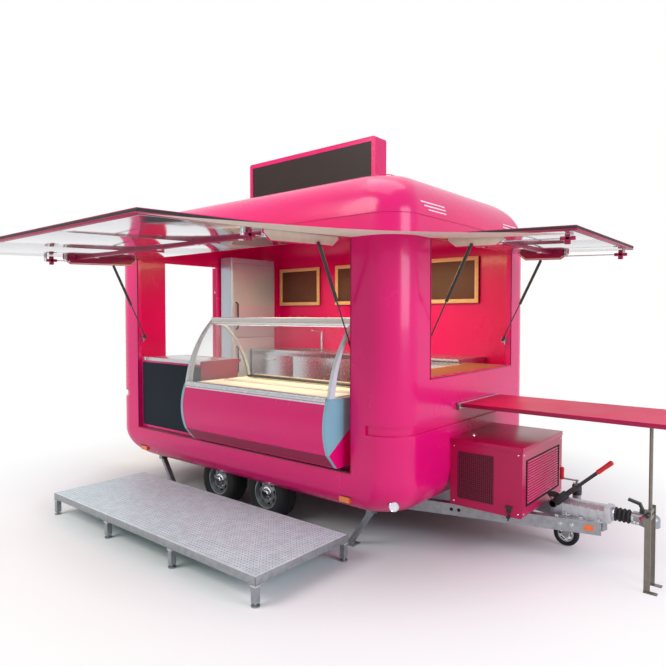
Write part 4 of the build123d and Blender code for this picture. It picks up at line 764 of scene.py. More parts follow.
def strut_details():
    """Collars and end sockets of the four gas struts."""
    for flap, rule, half in (("side", side_point, SERVE_HALF), ("front", front_point, WINDOW_HALF)):
        for end, side in (("a", -1), ("b", 1)):
            u = side * (half - STRUT_INSET)
            top = rule(u, STRUT_ANCHOR, STRUT_DROP)
            foot = Vector((u, STRUT_FOOT_IN - HALF_WIDTH, STRUT_FOOT_Z))
            if flap == "front":
                foot = Vector((HALF_LENGTH - STRUT_FOOT_IN, u, STRUT_FOOT_Z))
            along = (foot - top).normalized()
            neck = top + along * STRUT_TUBE
            cylinder = Shape()
            cylinder.lathe(
                ((0.0062, 0.004), (0.0132, 0.003), (0.0132, -0.014), (0.0118, -0.017)), neck, along, 20
            )
            cylinder.lathe(
                ((0.0118, 0.040), (0.0130, 0.037), (0.0130, 0.030), (0.0118, 0.027)), top, along, 20
            )
            cylinder.done(f"{flap}_strut_{end}_collar", ROD, f"{flap}_strut_{end}_cylinder", "rod_steel")
            socket = Shape()
            socket.lathe(
                ((0.0052, -0.048), (0.0085, -0.045), (0.0095, -0.028), (0.0085, -0.012), (0.0052, -0.010)),
                foot, along, 16,
            )
            socket.done(f"{flap}_strut_{end}_socket", BLACK, f"{flap}_strut_{end}_rod", "black_steel")


# Display case

CASE_X = (-0.370, 1.262)
CASE_IN = (-0.342, 1.234)
CASE_BODY = "display_case"


def case_details():
    x0, x1 = CASE_IN
    rail = Shape()
    rail.lathe(
        (
            (0.0, 0.0), (0.013, 0.0), (0.015, 0.003), (0.015, x1 - x0 - 0.003), (0.013, x1 - x0),
            (0.0, x1 - x0),
        ),
        (x0, -1.247, 1.157), (1, 0, 0), 18,
    )
    rail.box((x0, -1.2610, 1.104), (x1, -1.2460, 1.130), 0.003)
    rail.box((x0, -1.2590, 1.132), (x1, -1.2440, 1.150), 0.003)
    rail.done("case_front_rail", STEEL, CASE_BODY, "stainless")
    hood_low, hood_high = node_box("case_canopy")
    strip = Shape()
    strip.box(
        (x0 + 0.03, hood_low.y + 0.025, hood_low.z - 0.006),
        (x1 - 0.03, hood_high.y - 0.02, hood_low.z + 0.001), 0.002,
    )
    strip.done("case_light_strip", LIT, CASE_BODY, "lamp")
    trim = Shape()
    trim.box(
        (x0, hood_low.y - 0.004, hood_low.z - 0.004), (x1, hood_low.y + 0.006, hood_low.z + 0.020), 0.002
    )
    trim.rod(
        (x0, hood_low.y + 0.004, hood_high.z - 0.006), (x1, hood_low.y + 0.004, hood_high.z - 0.006), 0.007
    )
    trim.done("case_hood_trim", CHROME, CASE_BODY, "stainless")
    toe = Shape()
    for x, out in ((CASE_X[0], -1), (CASE_X[1], 1)):
        outline = [(x, -1.2495, 0.764), (x, -1.00, 0.940), (x, -1.00, 0.663), (x, -1.165, 0.663)]
        toe.prism(outline, (out * 0.0015, 0, 0))
    toe.done("case_toe_plates", PINK, CASE_BODY, "pink_paint")
    # Darker pink sheet on the underside from the chin to the toe: painted shade under the front panel.
    chin_shade = Shape()
    outline = [(x0, -1.2518, 0.7612), (x0, -1.1748, 0.6708), (x0, -1.1736, 0.6720), (x0, -1.2506, 0.7624)]
    chin_shade.prism(outline, (x1 - x0, 0, 0))
    chin_shade.done("case_chin_shade_strip", PINK_DARK, CASE_BODY, "pink_paint")
    tub_low, tub_high = node_box("case_tubs")
    covers = Shape()
    lips = Shape()
    side, lip = 0.022, 0.016
    middle = (tub_low.y + tub_high.y) / 2
    z = tub_high.z
    for near, far in ((tub_low.y + 0.012, middle - 0.016), (middle + 0.016, tub_high.y - 0.012)):
        left, right = x0 + side, x1 - side
        covers.box((left + lip, near + lip, z - 0.004), (right - lip, far - lip, z + 0.003), 0.003)
        lips.box((left, near, z - 0.004), (right, near + lip, z + 0.014), 0.005)
        lips.box((left, far - lip, z - 0.004), (right, far, z + 0.014), 0.005)
        lips.box((left, near + lip, z - 0.004), (left + lip, far - lip, z + 0.014), 0.005)
        lips.box((right - lip, near + lip, z - 0.004), (right, far - lip, z + 0.014), 0.005)
    covers.done("case_tub_covers", WHITE, CASE_BODY, "white_plastic")
    lips.done("case_tub_lips", WHITE, CASE_BODY, "white_plastic")
    back = Shape()
    for y, radius in ((tub_high.y - 0.052, 0.011), (tub_high.y - 0.078, 0.009)):
        back.rod((x0 + 0.05, y, z + 0.022), (x1 - 0.05, y, z + 0.022), radius)
    back.done("case_night_blind", BLACK, CASE_BODY, "black_steel")
    ledge = Shape()
    ledge.box((x0, -0.474, 1.112), (x1, -0.452, 1.172), 0.006)
    ledge.done("case_back_ledge", CREAM_SHELL, CASE_BODY, "white_plastic")


# Cooling unit box


def cooler_details():
    low, high = node_box("cooling_box")
    mesh = Shape()
    near = low.y
    left, right, foot, head = low.x + 0.068, low.x + 0.338, 0.388, 0.728
    columns, rows = 17, 22
    # Near-black sheets behind the side mesh and the front louvres: painted shade of the cavity behind them.
    depth = Shape()
    depth.box(
        (left - 0.004, near - 0.0012, foot - 0.004), (right + 0.004, near + 0.0006, head + 0.004), 0.0004
    )
    depth.box((high.x - 0.0006, -0.320, 0.408), (high.x + 0.0012, 0.295, 0.717), 0.0004)
    depth.done("cooler_painted_shade_backs", HOLE_SHADE, "root", "black_steel")
    for k in range(columns + 1):
        x = left + (right - left) * k / columns
        mesh.box((x - 0.0016, near - 0.003, foot), (x + 0.0016, near + 0.001, head), 0.0006, steps=1)
    for k in range(rows + 1):
        z = foot + (head - foot) * k / rows
        mesh.box((left, near - 0.003, z - 0.0016), (right, near + 0.001, z + 0.0016), 0.0006, steps=1)
    mesh.done("cooler_mesh", PINK_DARK, "root", "pink_paint")
    slats = Shape()
    count = 16
    lamina = Matrix.Rotation(math.radians(35), 3, "Y")
    for k in range(count):
        z = 0.420 + 0.285 * k / (count - 1)
        slats.box(
            (high.x - 0.004, -0.315, z - 0.0064), (high.x + 0.006, 0.290, z + 0.0064), 0.0015, lamina, 1
        )
    slats.done("cooler_louvres", PINK, "root", "pink_paint")
    lid = Shape()
    lid.box(
        (low.x + 0.004, low.y - 0.004, high.z - 0.003), (high.x + 0.004, high.y + 0.004, high.z + 0.004),
        0.003,
    )
    lid.box(
        (high.x - 0.002, low.y - 0.004, high.z - 0.030), (high.x + 0.004, high.y + 0.004, high.z + 0.002),
        0.002,
    )
    lid.box(
        (low.x + 0.004, low.y - 0.004, high.z - 0.030), (high.x + 0.004, low.y + 0.002, high.z + 0.002),
        0.002,
    )
    lid.done("cooler_lid", PINK_BOX, "root", "pink_paint")
    lock = Shape()
    lock.lathe(
        ((0.0, 0.014), (0.008, 0.014), (0.011, 0.011), (0.013, 0.003), (0.013, 0.0)),
        (low.x + 0.10, -0.22, high.z + 0.003), (0, 0, 1), 20,
    )
    lock.bar(
        (low.x + 0.10, -0.227, high.z + 0.0185), (low.x + 0.10, -0.213, high.z + 0.0185), 0.003, 0.003,
        0.0008,
    )
    for x in (low.x + 0.03, high.x - 0.03):
        for z in (low.z + 0.03, high.z - 0.05):
            lock.lathe(((0.0, 0.004), (0.004, 0.0035), (0.006, 0.0)), (x, low.y, z), (0, -1, 0), 10)
    for y in (low.y + 0.03, high.y - 0.03):
        for z in (low.z + 0.03, high.z - 0.05):
            lock.lathe(((0.0, 0.004), (0.004, 0.0035), (0.006, 0.0)), (high.x, y, z), (1, 0, 0), 10)
    lock.done("cooler_lock_and_screws", CHROME, "root", "stainless")
    latch = Shape()
    x = high.x - 0.095
    latch.box((x - 0.016, low.y - 0.009, 0.355), (x + 0.016, low.y + 0.001, 0.395), 0.003)
    latch.box((x - 0.026, low.y - 0.014, 0.388), (x + 0.026, low.y - 0.002, 0.402), 0.004)
    latch.rod((x, low.y - 0.010, 0.300), (x, low.y - 0.010, 0.370), 0.005)
    latch.box((x - 0.014, low.y - 0.016, 0.316), (x + 0.014, low.y - 0.002, 0.332), 0.003)
    latch.done("cooler_latch", BLACK, "root", "black_steel")


# Drawbar


def beam_point(side, share, z):
    """Point on a drawbar beam's outer face, from the body end to the nose."""
    root, nose = Vector((0.90, 0.56, 0)), Vector((2.70, 0.046, 0))
    along = (nose - root).normalized()
    spot = root + (nose - root) * share + Vector((-along.y, along.x, 0)) * 0.030
    out = Vector((-along.y, side * along.x, 0))
    return Vector((spot.x, side * spot.y, z)), Vector((along.x, side * along.y, 0)), out


def drawbar_details():
    # Thin near-black discs on the beams' sides: painted shade inside the beams' holes.
    hole_shade = Shape()
    bolts = Shape()
    for side in (-1, 1):
        for share in (0.45, 0.48):
            spot, along, out = beam_point(side, share, 0.268)
            hole_shade.lathe(((0.0, 0.0006), (0.012, 0.0006), (0.0135, 0.0)), spot, out, 18)
        for share in (0.86, 0.90):
            spot, along, out = beam_point(side, share, 0.272)
            bolts.lathe(
                (
                    (0.0155, 0.0), (0.0155, 0.002), (0.011, 0.002), (0.011, 0.009), (0.009, 0.011),
                    (0.0, 0.011),
                ),
                spot, out, 6,
            )
        for share in (0.845, 0.93):
            spot, along, out = beam_point(side, share, 0.312)
            inner = spot - out * 0.030
            bolts.lathe(
                ((0.018, 0.0), (0.018, 0.003), (0.012, 0.003), (0.012, 0.011), (0.010, 0.013), (0.0, 0.013)),
                inner, (0, 0, 1), 6,
            )
    hole_shade.done("drawbar_hole_shade", HOLE_SHADE, "root", "black_steel")
    bolts.done("drawbar_bolts", STEEL, "root", "stainless")
    reflectors = Shape()
    for side in (-1, 1):
        spot, along, out = beam_point(side, 0.958, 0.266)
        reflectors.bar(spot - along * 0.030, spot + along * 0.030, 0.006, 0.038, 0.002)
    reflectors.done("drawbar_reflectors", AMBER, "root", "lamp")
    cast = Shape()
    cast.box((2.352, -0.064, 0.312), (2.392, 0.057, 0.424), 0.012)
    cast.box((2.715, -0.064, 0.314), (2.765, 0.064, 0.422), 0.014)
    cast.lathe(
        ((0.040, 0.0), (0.050, 0.004), (0.050, 0.018), (0.046, 0.022)), (2.758, 0, COUPLING_Z), (1, 0, 0),
        26,
    )
    for x in (2.44, 2.50, 2.56, 2.62, 2.68):
        cast.box((x - 0.005, -0.0605, 0.318), (x + 0.005, 0.0605, 0.398), 0.003)
    cast.box((2.38, -0.018, 0.412), (2.72, 0.018, 0.423), 0.005)
    cast.box((2.44, -0.085, 0.3125), (2.50, 0.085, 0.3205), 0.003)
    cast.box((2.66, -0.085, 0.3125), (2.72, 0.085, 0.3205), 0.003)
    for x in (2.47, 2.69):
        for y in (-0.074, 0.074):
            cast.lathe(
                ((0.012, 0.0), (0.012, 0.009), (0.009, 0.012), (0.0, 0.012)), (x, y, 0.3205), (0, 0, 1), 6
            )
    cast.done("overrun_casting", CAST, "root", "galvanised")
    bellows = Shape()
    folds = []
    count = 4
    start, stop = 2.768, 2.877
    for k in range(count):
        x = start + (stop - start) * k / count
        width = (stop - start) / count
        for radius, share in ((0.036, 0.0), (0.044, 0.22), (0.0478, 0.42), (0.0478, 0.58), (0.044, 0.78)):
            folds.append((radius, x + width * share))
    folds.append((0.036, stop))
    folds = [(0.026, start), *folds, (0.026, stop)]
    bellows.lathe(folds, (0, 0, COUPLING_Z), (1, 0, 0), 30)
    bellows = bellows.done("drawbar_bellows", RUBBER, "root", "black_rubber")
    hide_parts("gaiter")
    lever = Shape()
    pivot, tip = Vector(LEVER_PIVOT), Vector(LEVER_TIP)
    along = (tip - pivot).normalized()
    grip = Shape()
    grip.lathe(
        (
            (0.0, -0.004), (0.012, -0.003), (0.0165, 0.004), (0.0155, 0.05), (0.0168, 0.10),
            (0.0165, 0.122), (0.011, 0.129), (0.0, 0.130),
        ),
        tip - along * 0.125, along, 20,
    )
    grip.done("brake_lever_grip", RED_GRIP, "root", "black_rubber")
    lever.bar(pivot + along * 0.02, pivot + along * 0.13, 0.026, 0.060, 0.009)
    lever.bar(pivot + along * 0.11, pivot + along * 0.22, 0.022, 0.036, 0.009)
    lever.lathe(
        ((0.0, 0.012), (0.024, 0.012), (0.028, 0.008), (0.028, -0.008), (0.024, -0.012), (0.0, -0.012)),
        pivot, (0, 1, 0), 26,
    )
    quadrant = [pivot + Vector((0, 0.013, 0))]
    for angle in [math.radians(degrees) for degrees in range(20, 131, 10)]:
        quadrant.append(quadrant[0] + Vector((0.085 * math.cos(angle), 0, 0.085 * math.sin(angle))))
    lever.prism(quadrant, (0, 0.005, 0))
    lever.done("brake_lever_cover", BLACK, "root", "black_steel")
    head = Shape()
    head.lathe(
        ((0.0, 0.008), (0.010, 0.008), (0.013, 0.005), (0.013, 0.0)), (2.945, -0.0382, 0.385), (0, -1, 0),
        20,
    )
    head.done("coupling_button", RED_GRIP, "root", "black_rubber")
    ring = Shape()
    ring.lathe(
        ((0.036, 0.0), (0.041, 0.002), (0.041, 0.014), (0.036, 0.016)), (2.884, 0, COUPLING_Z), (1, 0, 0),
        26,
    )
    for x in (2.905, 2.925):
        for side in (-1, 1):
            ring.lathe(
                ((0.011, 0.0), (0.011, 0.007), (0.008, 0.009), (0.0, 0.009)), (x, side * 0.0382, 0.352),
                (0, side, 0), 6,
            )
    ring.done("coupling_bolts", STEEL, "root", "stainless")


# Body lamps


CORNER_TURN = math.radians(45)
MARKER_XS = (-1.325, 1.250)
MARKER_SIZE = (0.090, 0.040)
TAIL_LAMP_Y = 0.830


def lamp_details():
    rings = Shape()
    low = node_box("lamps")[0]
    for side in (-1, 1):
        out = Vector((math.cos(CORNER_TURN), side * math.sin(CORNER_TURN), 0))
        spot = Vector((HALF_LENGTH, side * HALF_WIDTH, 0.430)) - out * 0.1435
        section = ((0.0302, -0.030), (0.0345, -0.028), (0.036, 0.002), (0.033, 0.006), (0.0302, 0.004))
        rings.lathe(section, spot, out, 28, closed=True)
    rings.done("corner_lamp_rings", CHROME, "root", "stainless")
    bases = Shape()
    wide, tall = (0.5 * MARKER_SIZE[0], 0.5 * MARKER_SIZE[1])
    for x in MARKER_XS:
        for side in (-1, 1):
            y0, y1 = sorted((side * 1.028, side * 1.0585))
            bases.box((x - wide - 0.006, y0, 0.415 + tall), (x + wide + 0.006, y1, 0.421 + tall), 0.002)
    for side in (-1, 1):
        y = side * TAIL_LAMP_Y
        left, right, foot, head = y - 0.061, y + 0.061, 0.634, 0.866
        bases.box((low.x + 0.003, left, foot), (low.x + 0.013, left + 0.008, head), 0.003)
        bases.box((low.x + 0.003, right - 0.008, foot), (low.x + 0.013, right, head), 0.003)
        bases.box((low.x + 0.003, left, foot), (low.x + 0.013, right, foot + 0.008), 0.003)
        bases.box((low.x + 0.003, left, head - 0.008), (low.x + 0.013, right, head), 0.003)
    bases.done("lamp_bases", BLACK, "root", "black_steel")
    for name, made, z0, z1 in (("indicator", AMBER, 0.788, 0.852), ("reverse", CLEAR, 0.648, 0.702)):
        lens = Shape()
        for side in (-1, 1):
            y = side * TAIL_LAMP_Y
            lens.box((low.x - 0.003, y - 0.050, z0), (low.x + 0.004, y + 0.050, z1), 0.003)
        lens.done(f"tail_lamp_{name}", made, "root", "lamp")


# Entrance door, given shut and swung to its place against the rear wall

DOOR_HINGE = (-HALF_LENGTH - HINGE_OUT, DOOR_EDGE + HINGE_SIDE)


def door_point(x, y, z):
    turn = math.radians(-175.0)
    dx, dy = x - DOOR_HINGE[0], y - DOOR_HINGE[1]
    return Vector((
        DOOR_HINGE[0] + dx * math.cos(turn) - dy * math.sin(turn),
        DOOR_HINGE[1] + dx * math.sin(turn) + dy * math.cos(turn),
        z,
    ))


def door_details():
    inner = -HALF_LENGTH + SHELL
    left, right, foot, head = -0.525, 0.172, 0.640, 2.285
    lining = Shape()
    lining.box((inner - 0.001, left + 0.030, foot), (inner + 0.002, right - 0.030, head - 0.030), 0.001)
    lining.mapped(door_point).done("door_lining", WHITE, "door", "white_plastic")
    seal = Shape()
    for y0, y1, z0, z1 in (
        (left, left + 0.018, foot - 0.02, head), (right - 0.018, right, foot - 0.02, head),
        (left, right, head - 0.018, head), (left, right, foot - 0.022, foot - 0.004),
    ):
        seal.box((inner - 0.001, y0, z0), (inner + 0.003, y1, z1), 0.0018)
    seal.mapped(door_point).done("door_seal", RUBBER, "door", "black_rubber")
    handle = Shape()
    y, z = -0.467, 1.41
    handle.box((inner, y - 0.018, z - 0.070), (inner + 0.008, y + 0.018, z + 0.070), 0.004)
    handle.rod((inner + 0.006, y, z + 0.02), (inner + 0.038, y, z + 0.02), 0.009, 16)
    handle.bar(
        (inner + 0.034, y - 0.012, z + 0.02), (inner + 0.034, y + 0.105, z + 0.014), 0.014, 0.020, 0.005
    )
    handle.lathe(
        ((0.0, 0.014), (0.010, 0.014), (0.013, 0.010), (0.013, 0.0)), (inner, y, z - 0.038), (1, 0, 0), 18
    )
    outer = -HALF_LENGTH
    handle.lathe(
        ((0.0, 0.012), (0.010, 0.012), (0.014, 0.008), (0.014, 0.0)), (outer, y, z - 0.110), (-1, 0, 0), 18
    )
    handle.mapped(door_point).done("door_handle", STEEL, "door", "stainless")


# Corner awning


def awning():
    """Two cloths that meet on the corner's diagonal and run from the body's corner out to the flaps' tips."""
    free = [(AWNING_X, -2.725), (1.741, -1.809), (2.043, -1.36), (2.472, -0.953), (2.695, AWNING_Y)]
    high, low = 2.272, 2.216
    proud = 0.003
    reach = CORNER_R + proud
    corner = Vector((HALF_LENGTH - CORNER_R, CORNER_R - HALF_WIDTH, 0.0))
    runs = (corner.x - AWNING_X, reach * math.pi / 2, AWNING_Y - corner.y)

    def on_free(t):
        spans = len(free) - 1
        k = min(int(t * spans), spans - 1)
        local = t * spans - k
        a, b, c, d = [Vector((*free[max(0, min(spans, k + step))], low)) for step in (-1, 0, 1, 2)]
        bend = (2 * a - 5 * b + 4 * c - d) * local ** 2 + (3 * b - a - 3 * c + d) * local ** 3
        return 0.5 * (2 * b + (c - a) * local + bend)

    def on_body(t):
        gone = t * sum(runs)
        if gone < runs[0]:
            return Vector((AWNING_X + gone, -HALF_WIDTH - proud, high))
        gone -= runs[0]
        if gone < runs[1]:
            angle = gone / reach - math.pi / 2
            return Vector((corner.x + reach * math.cos(angle), corner.y + reach * math.sin(angle), high))
        gone -= runs[1]
        return Vector((HALF_LENGTH + proud, corner.y + gone, high))

    pieces = []
    for name, start, stop in (("side", 0.0, 0.5), ("front", 0.5, 1.0)):
        sheet = Shape()
        rows = []
        steps = 30
        for k in range(steps + 1):
            t = start + (stop - start) * k / steps
            row = []
            for n in range(13):
                share = n / 12
                point = on_body(t).lerp(on_free(t), share)
                point.z -= 0.006 * math.sin(share * math.pi)
                row.append(point)
            rows.append(row)
        sheet.strip(rows)
        pieces.append(sheet.done(f"awning_{name}", CLOTH, None, "fabric", 60, outward=False))
    return pieces


# Roof and shell lines


def plan_loop(inset, z, steps=8, radius=CORNER_R):
    """Rounded plan outline of the body at one height."""
    points = []
    r = max(0.02, radius - inset)
    for cx, cy, start in ((1, 1, 0), (-1, 1, 90), (-1, -1, 180), (1, -1, 270)):
        centre = Vector((cx * (HALF_LENGTH - inset - r), cy * (HALF_WIDTH - inset - r), z))
        for k in range(steps + 1):
            angle = math.radians(start + 90.0 * k / steps)
            points.append(centre + Vector((r * math.cos(angle), r * math.sin(angle), 0)))
    return points


def roof_front(y, z, proud=0.0012):
    """Point on the rounded front edge of the roof."""
    turn = math.asin((z - ROOF_SEAM_Z) / ROOF_R)
    inset = ROOF_R * (1 - math.cos(turn))
    x = HALF_LENGTH - inset
    over = abs(y) - (HALF_WIDTH - CORNER_R)
    r = CORNER_R - inset
    if over > 0:
        x -= r - math.sqrt(max(0.0, r * r - over * over))
    return Vector((x + proud * math.cos(turn), y, z + proud * math.sin(turn)))


SPEED_LINES = (
    # height, near start, near stop, far start, far stop
    (2.515, -0.821, -0.485, 0.536, 0.807),
    (2.490, -0.782, -0.481, 0.524, 0.812),
    (2.465, -0.730, -0.480, 0.530, 0.780),
)


def shell_lines():
    # Thin darker pink ring along the roof seam: partly the seam's raised lip, partly painted shade of its
    # gap.
    seam = Shape()
    seam.tube(plan_loop(-0.0002, ROOF_SEAM_Z), 0.0022, 6, closed=True)
    seam.done("roof_seam_shade_ring", PINK_DARK, "root", "pink_paint")
    rim = Shape()
    rim.tube(plan_loop(0.30, 2.7475, radius=0.36), 0.003, 6, closed=True)
    rim.done("roof_rim", PINK, "root", "pink_paint")
    lines = Shape()
    tall = 0.0042
    for z, near0, near1, far0, far1 in SPEED_LINES:
        for start, stop in ((near0, near1), (far0, far1)):
            steps = 16
            rows = []
            for dz, proud in ((-tall, 0.0), (-tall, 0.0016), (tall, 0.0016), (tall, 0.0)):
                rows.append(
                    [roof_front(start + (stop - start) * k / steps, z + dz, proud) for k in range(steps + 1)]
                )
            lines.strip(rows)
    lines.done("roof_speed_lines", WHITE_FILM, "root", "white_plastic")
    frames = Shape()
    near, far = -HALF_WIDTH - 0.003, 0.006 - HALF_WIDTH
    inner, outer = HALF_LENGTH - 0.004, HALF_LENGTH + 0.004
    serve_edge, window_edge = SERVE_HALF + EDGE_WIDE, WINDOW_HALF + 0.009
    for side in (-1, 1):
        low, high = sorted((side * SERVE_HALF, side * serve_edge))
        frames.box((low, near, SERVE_SILL), (high, far, OPENING_TOP), 0.002)
        low, high = sorted((side * WINDOW_HALF, side * window_edge))
        frames.box((inner, low, WINDOW_SILL), (outer, high, OPENING_TOP), 0.002)
    frames.box((-serve_edge, near, SERVE_SILL - EDGE_WIDE), (serve_edge, far, SERVE_SILL + 0.001), 0.002)
    frames.box((inner, -window_edge, WINDOW_SILL - 0.002), (outer, window_edge, WINDOW_SILL + 0.008), 0.002)
    frames.done("opening_edges", PINK_DARK, "root", "pink_paint")
    sill = Shape()
    sill.box((0.002 - SERVE_HALF, -1.099, 0.627), (SERVE_HALF - 0.002, -1.062, 0.6306), 0.0005)
    sill.done("serving_sill", STEEL, "root", "stainless")


# Fittings inside the body


def inside_details():
    low, high = node_box("chalkboard")
    frame_bars = Shape()
    rim = 0.024
    near = low.y - 0.0009
    frame_bars.box((low.x, near, low.z - 0.020), (high.x, low.y + 0.004, low.z), 0.0008)
    frame_bars.box((low.x, near, high.z), (high.x, low.y + 0.004, high.z + 0.014), 0.0008)
    frame_bars.box((low.x, near, low.z), (low.x + rim / 3, low.y + 0.004, high.z), 0.0008)
    frame_bars.done("chalkboard_frame", PINK, "root", "pink_paint")
    boards = Shape()
    frames = Shape()
    board_low, board_high = node_box("menu_boards")
    for centre in (-1.150, -0.230, 0.920):
        x0, x1 = centre - 0.335, centre + 0.335
        z0, z1 = board_low.z, board_high.z
        y = board_low.y
        wide = 0.040
        frames.box((x0, y - 0.012, z0), (x1, y + 0.002, z0 + wide), 0.004)
        frames.box((x0, y - 0.012, z1 - wide), (x1, y + 0.002, z1), 0.004)
        frames.box((x0, y - 0.012, z0 + wide), (x0 + wide, y + 0.002, z1 - wide), 0.004)
        frames.box((x1 - wide, y - 0.012, z0 + wide), (x1, y + 0.002, z1 - wide), 0.004)
        boards.box((x0 + wide, y + 0.006, z0 + wide), (x1 - wide, y + 0.012, z1 - wide), 0.002)
    frames.done("menu_board_frames", PALE_WOOD, "root", "wood")
    boards.done("menu_board_faces", BROWN, "root", "wood")
    low, high = node_box("fridge")
    fridge = Shape()
    split = (low.z + 0.08 + high.z) / 2
    for z0, z1 in ((low.z + 0.10, split - 0.006), (split + 0.006, high.z - 0.07)):
        fridge.box((high.x - 0.002, low.y + 0.012, z0), (high.x + 0.014, high.y - 0.012, z1), 0.006)
    fridge.box(
        (high.x - 0.002, low.y + 0.012, high.z - 0.062), (high.x + 0.008, high.y - 0.012, high.z - 0.006),
        0.004,
    )
    fridge.done("fridge_doors", STEEL_UP, "root", "stainless")
    handles = Shape()
    for z0, z1 in ((split - 0.42, split - 0.10), (split + 0.10, split + 0.42)):
        x, y = high.x + 0.012, low.y + 0.06
        handles.tube(
            [(x, y, z0), (x + 0.034, y, z0 + 0.02), (x + 0.034, y, z1 - 0.02), (x, y, z1)], 0.009, 10
        )
    handles.done("fridge_handles", BLACK, "root", "black_steel")
    low, high = node_box("counter_cabinet")
    ledge = Shape()
    ledge.box((low.x + 0.07, low.y - 0.0008, high.z - 0.029), (-0.392, low.y + 0.40, high.z + 0.004), 0.003)
    ledge.box((low.x, low.y - 0.0008, high.z - 0.029), (low.x + 0.072, low.y + 0.0066, high.z + 0.004), 0.002)
    ledge.done("counter_ledge", STEEL, "root", "stainless")
    low, high = node_box("sink_worktop")
    fronts = Shape()
    count = 4
    for k in range(count):
        x0 = low.x + 0.01 + (high.x - low.x - 0.02) * k / count
        x1 = low.x + 0.01 + (high.x - low.x - 0.02) * (k + 1) / count
        fronts.box((x0 + 0.004, low.y - 0.014, 0.64), (x1 - 0.004, low.y + 0.002, 1.27), 0.006)
    fronts.box((low.x - 0.002, low.y - 0.018, 1.300), (high.x + 0.002, low.y + 0.004, 1.333), 0.008)
    fronts.done("worktop_fronts", STEEL, "root", "stainless")
    pulls = Shape()
    for k in range(count):
        x = low.x + 0.01 + (high.x - low.x - 0.02) * (k + 0.5) / count
        pulls.tube(
            [
                (x - 0.07, low.y - 0.013, 1.22), (x - 0.06, low.y - 0.036, 1.22),
                (x + 0.06, low.y - 0.036, 1.22), (x + 0.07, low.y - 0.013, 1.22),
            ],
            0.006, 8,
        )
    pulls.done("worktop_pulls", CHROME, "root", "stainless")
    spots = Shape()
    rings = Shape()
    for x in (-1.1, -0.4, 0.3, 1.0):
        for y in (-0.55, 0.45):
            spots.lathe(((0.0, 0.0), (0.030, 0.0), (0.031, 0.004)), (x, y, CEILING), (0, 0, 1), 20)
            rings.lathe(
                ((0.030, 0.002), (0.034, -0.005), (0.042, -0.004), (0.044, 0.004)), (x, y, CEILING),
                (0, 0, 1), 24,
            )
    spots.done("ceiling_spots", LIT, "root", "lamp")
    rings.done("ceiling_spot_rings", CHROME, "root", "stainless")
    counter_low, counter_high = node_box("front_counter")
    nose = Shape()
    nose.box(
        (counter_low.x - 0.010, counter_low.y, counter_high.z - 0.034),
        (counter_low.x + 0.010, counter_high.y, counter_high.z + 0.001), 0.008,
    )
    nose.done("front_counter_nosing", PALE_WOOD, "root", "wood")
    striker = Shape()
    striker.box((-1.724, -0.5395, 1.90), (-1.694, -0.5345, 1.965), 0.002)
    striker.box((-1.716, -0.5365, 1.918), (-1.702, -0.5336, 1.946), 0.001)
    striker.done("door_striker", BRASS, "root", "stainless")


# Side table


def table_details():
    low, high = node_box("table_top")
    trim = Shape()
    trim.box(
        (low.x - 0.022, low.y - 0.018, low.z - 0.010), (low.x + 0.004, high.y + 0.018, high.z + 0.003),
        0.003,
    )
    trim.done("table_hook_trim", STEEL, "root", "stainless")
    edge = Shape()
    edge.box((low.x, low.y - 0.002, low.z + 0.002), (high.x - 0.04, low.y + 0.002, high.z - 0.004), 0.0015)
    edge.box((low.x, high.y - 0.002, low.z + 0.002), (high.x - 0.04, high.y + 0.002, high.z - 0.004), 0.0015)
    edge.done("table_edge_band", PINK_DARK, "root", "pink_paint")
    knob = Shape()
    knob.lathe(
        ((0.0, 0.03), (0.012, 0.03), (0.016, 0.024), (0.016, 0.012), (0.006, 0.008), (0.006, 0.0)),
        (3.03, -0.271, 0.49), (0, -1, 0), 10,
    )
    knob.done("table_leg_knob", BLACK, "root", "black_steel")


road_wheels()
jockey_details()
platform_details()
flap_details()
strut_details()
case_details()
cooler_details()
drawbar_details()
lamp_details()
door_details()
shell_lines()
inside_details()
table_details()
cloths = awning()
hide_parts("corner_canopy")
for cloth, joint, axis, anchor in (
    (cloths[0], "side_flap_hinge", (0, 1, 0), (AWNING_X, -HALF_WIDTH - 0.010, 2.226)),
    (cloths[1], "front_flap_hinge", (1, 0, 0), (HALF_LENGTH + 0.012, AWNING_Y, 2.226)),
):
    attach(cloth, "root")
    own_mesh(cloth)


# Studio: pale floor, soft lights, white backdrop, and the photo's camera


# Floor colour darker and tinted cyan near the body, pale further out: painted shadow under the trailer,
# tinted against the pink light bounced from the body.
FLOOR_SHADOW_REACH = 2.6
FLOOR_PAINTED_SHADOW = (
    (0.0, (0.50, 0.58, 0.55, 1.0)), (0.5, (0.56, 0.63, 0.60, 1.0)), (1.0, (0.93, 0.93, 0.94, 1.0))
)
FLOOR_FADE = (1.8, 4.0)
SOFT_LIGHT = 0.35


def seen_rays(tree):
    """Light path of a shader, and 1 for rays from the camera or a mirror."""
    path = add(tree, "ShaderNodeLightPath").outputs
    pair = {0: path["Is Camera Ray"], 1: path["Is Glossy Ray"]}
    return path, add(tree, "ShaderNodeMath", pair, operation="MAXIMUM").outputs["Value"]


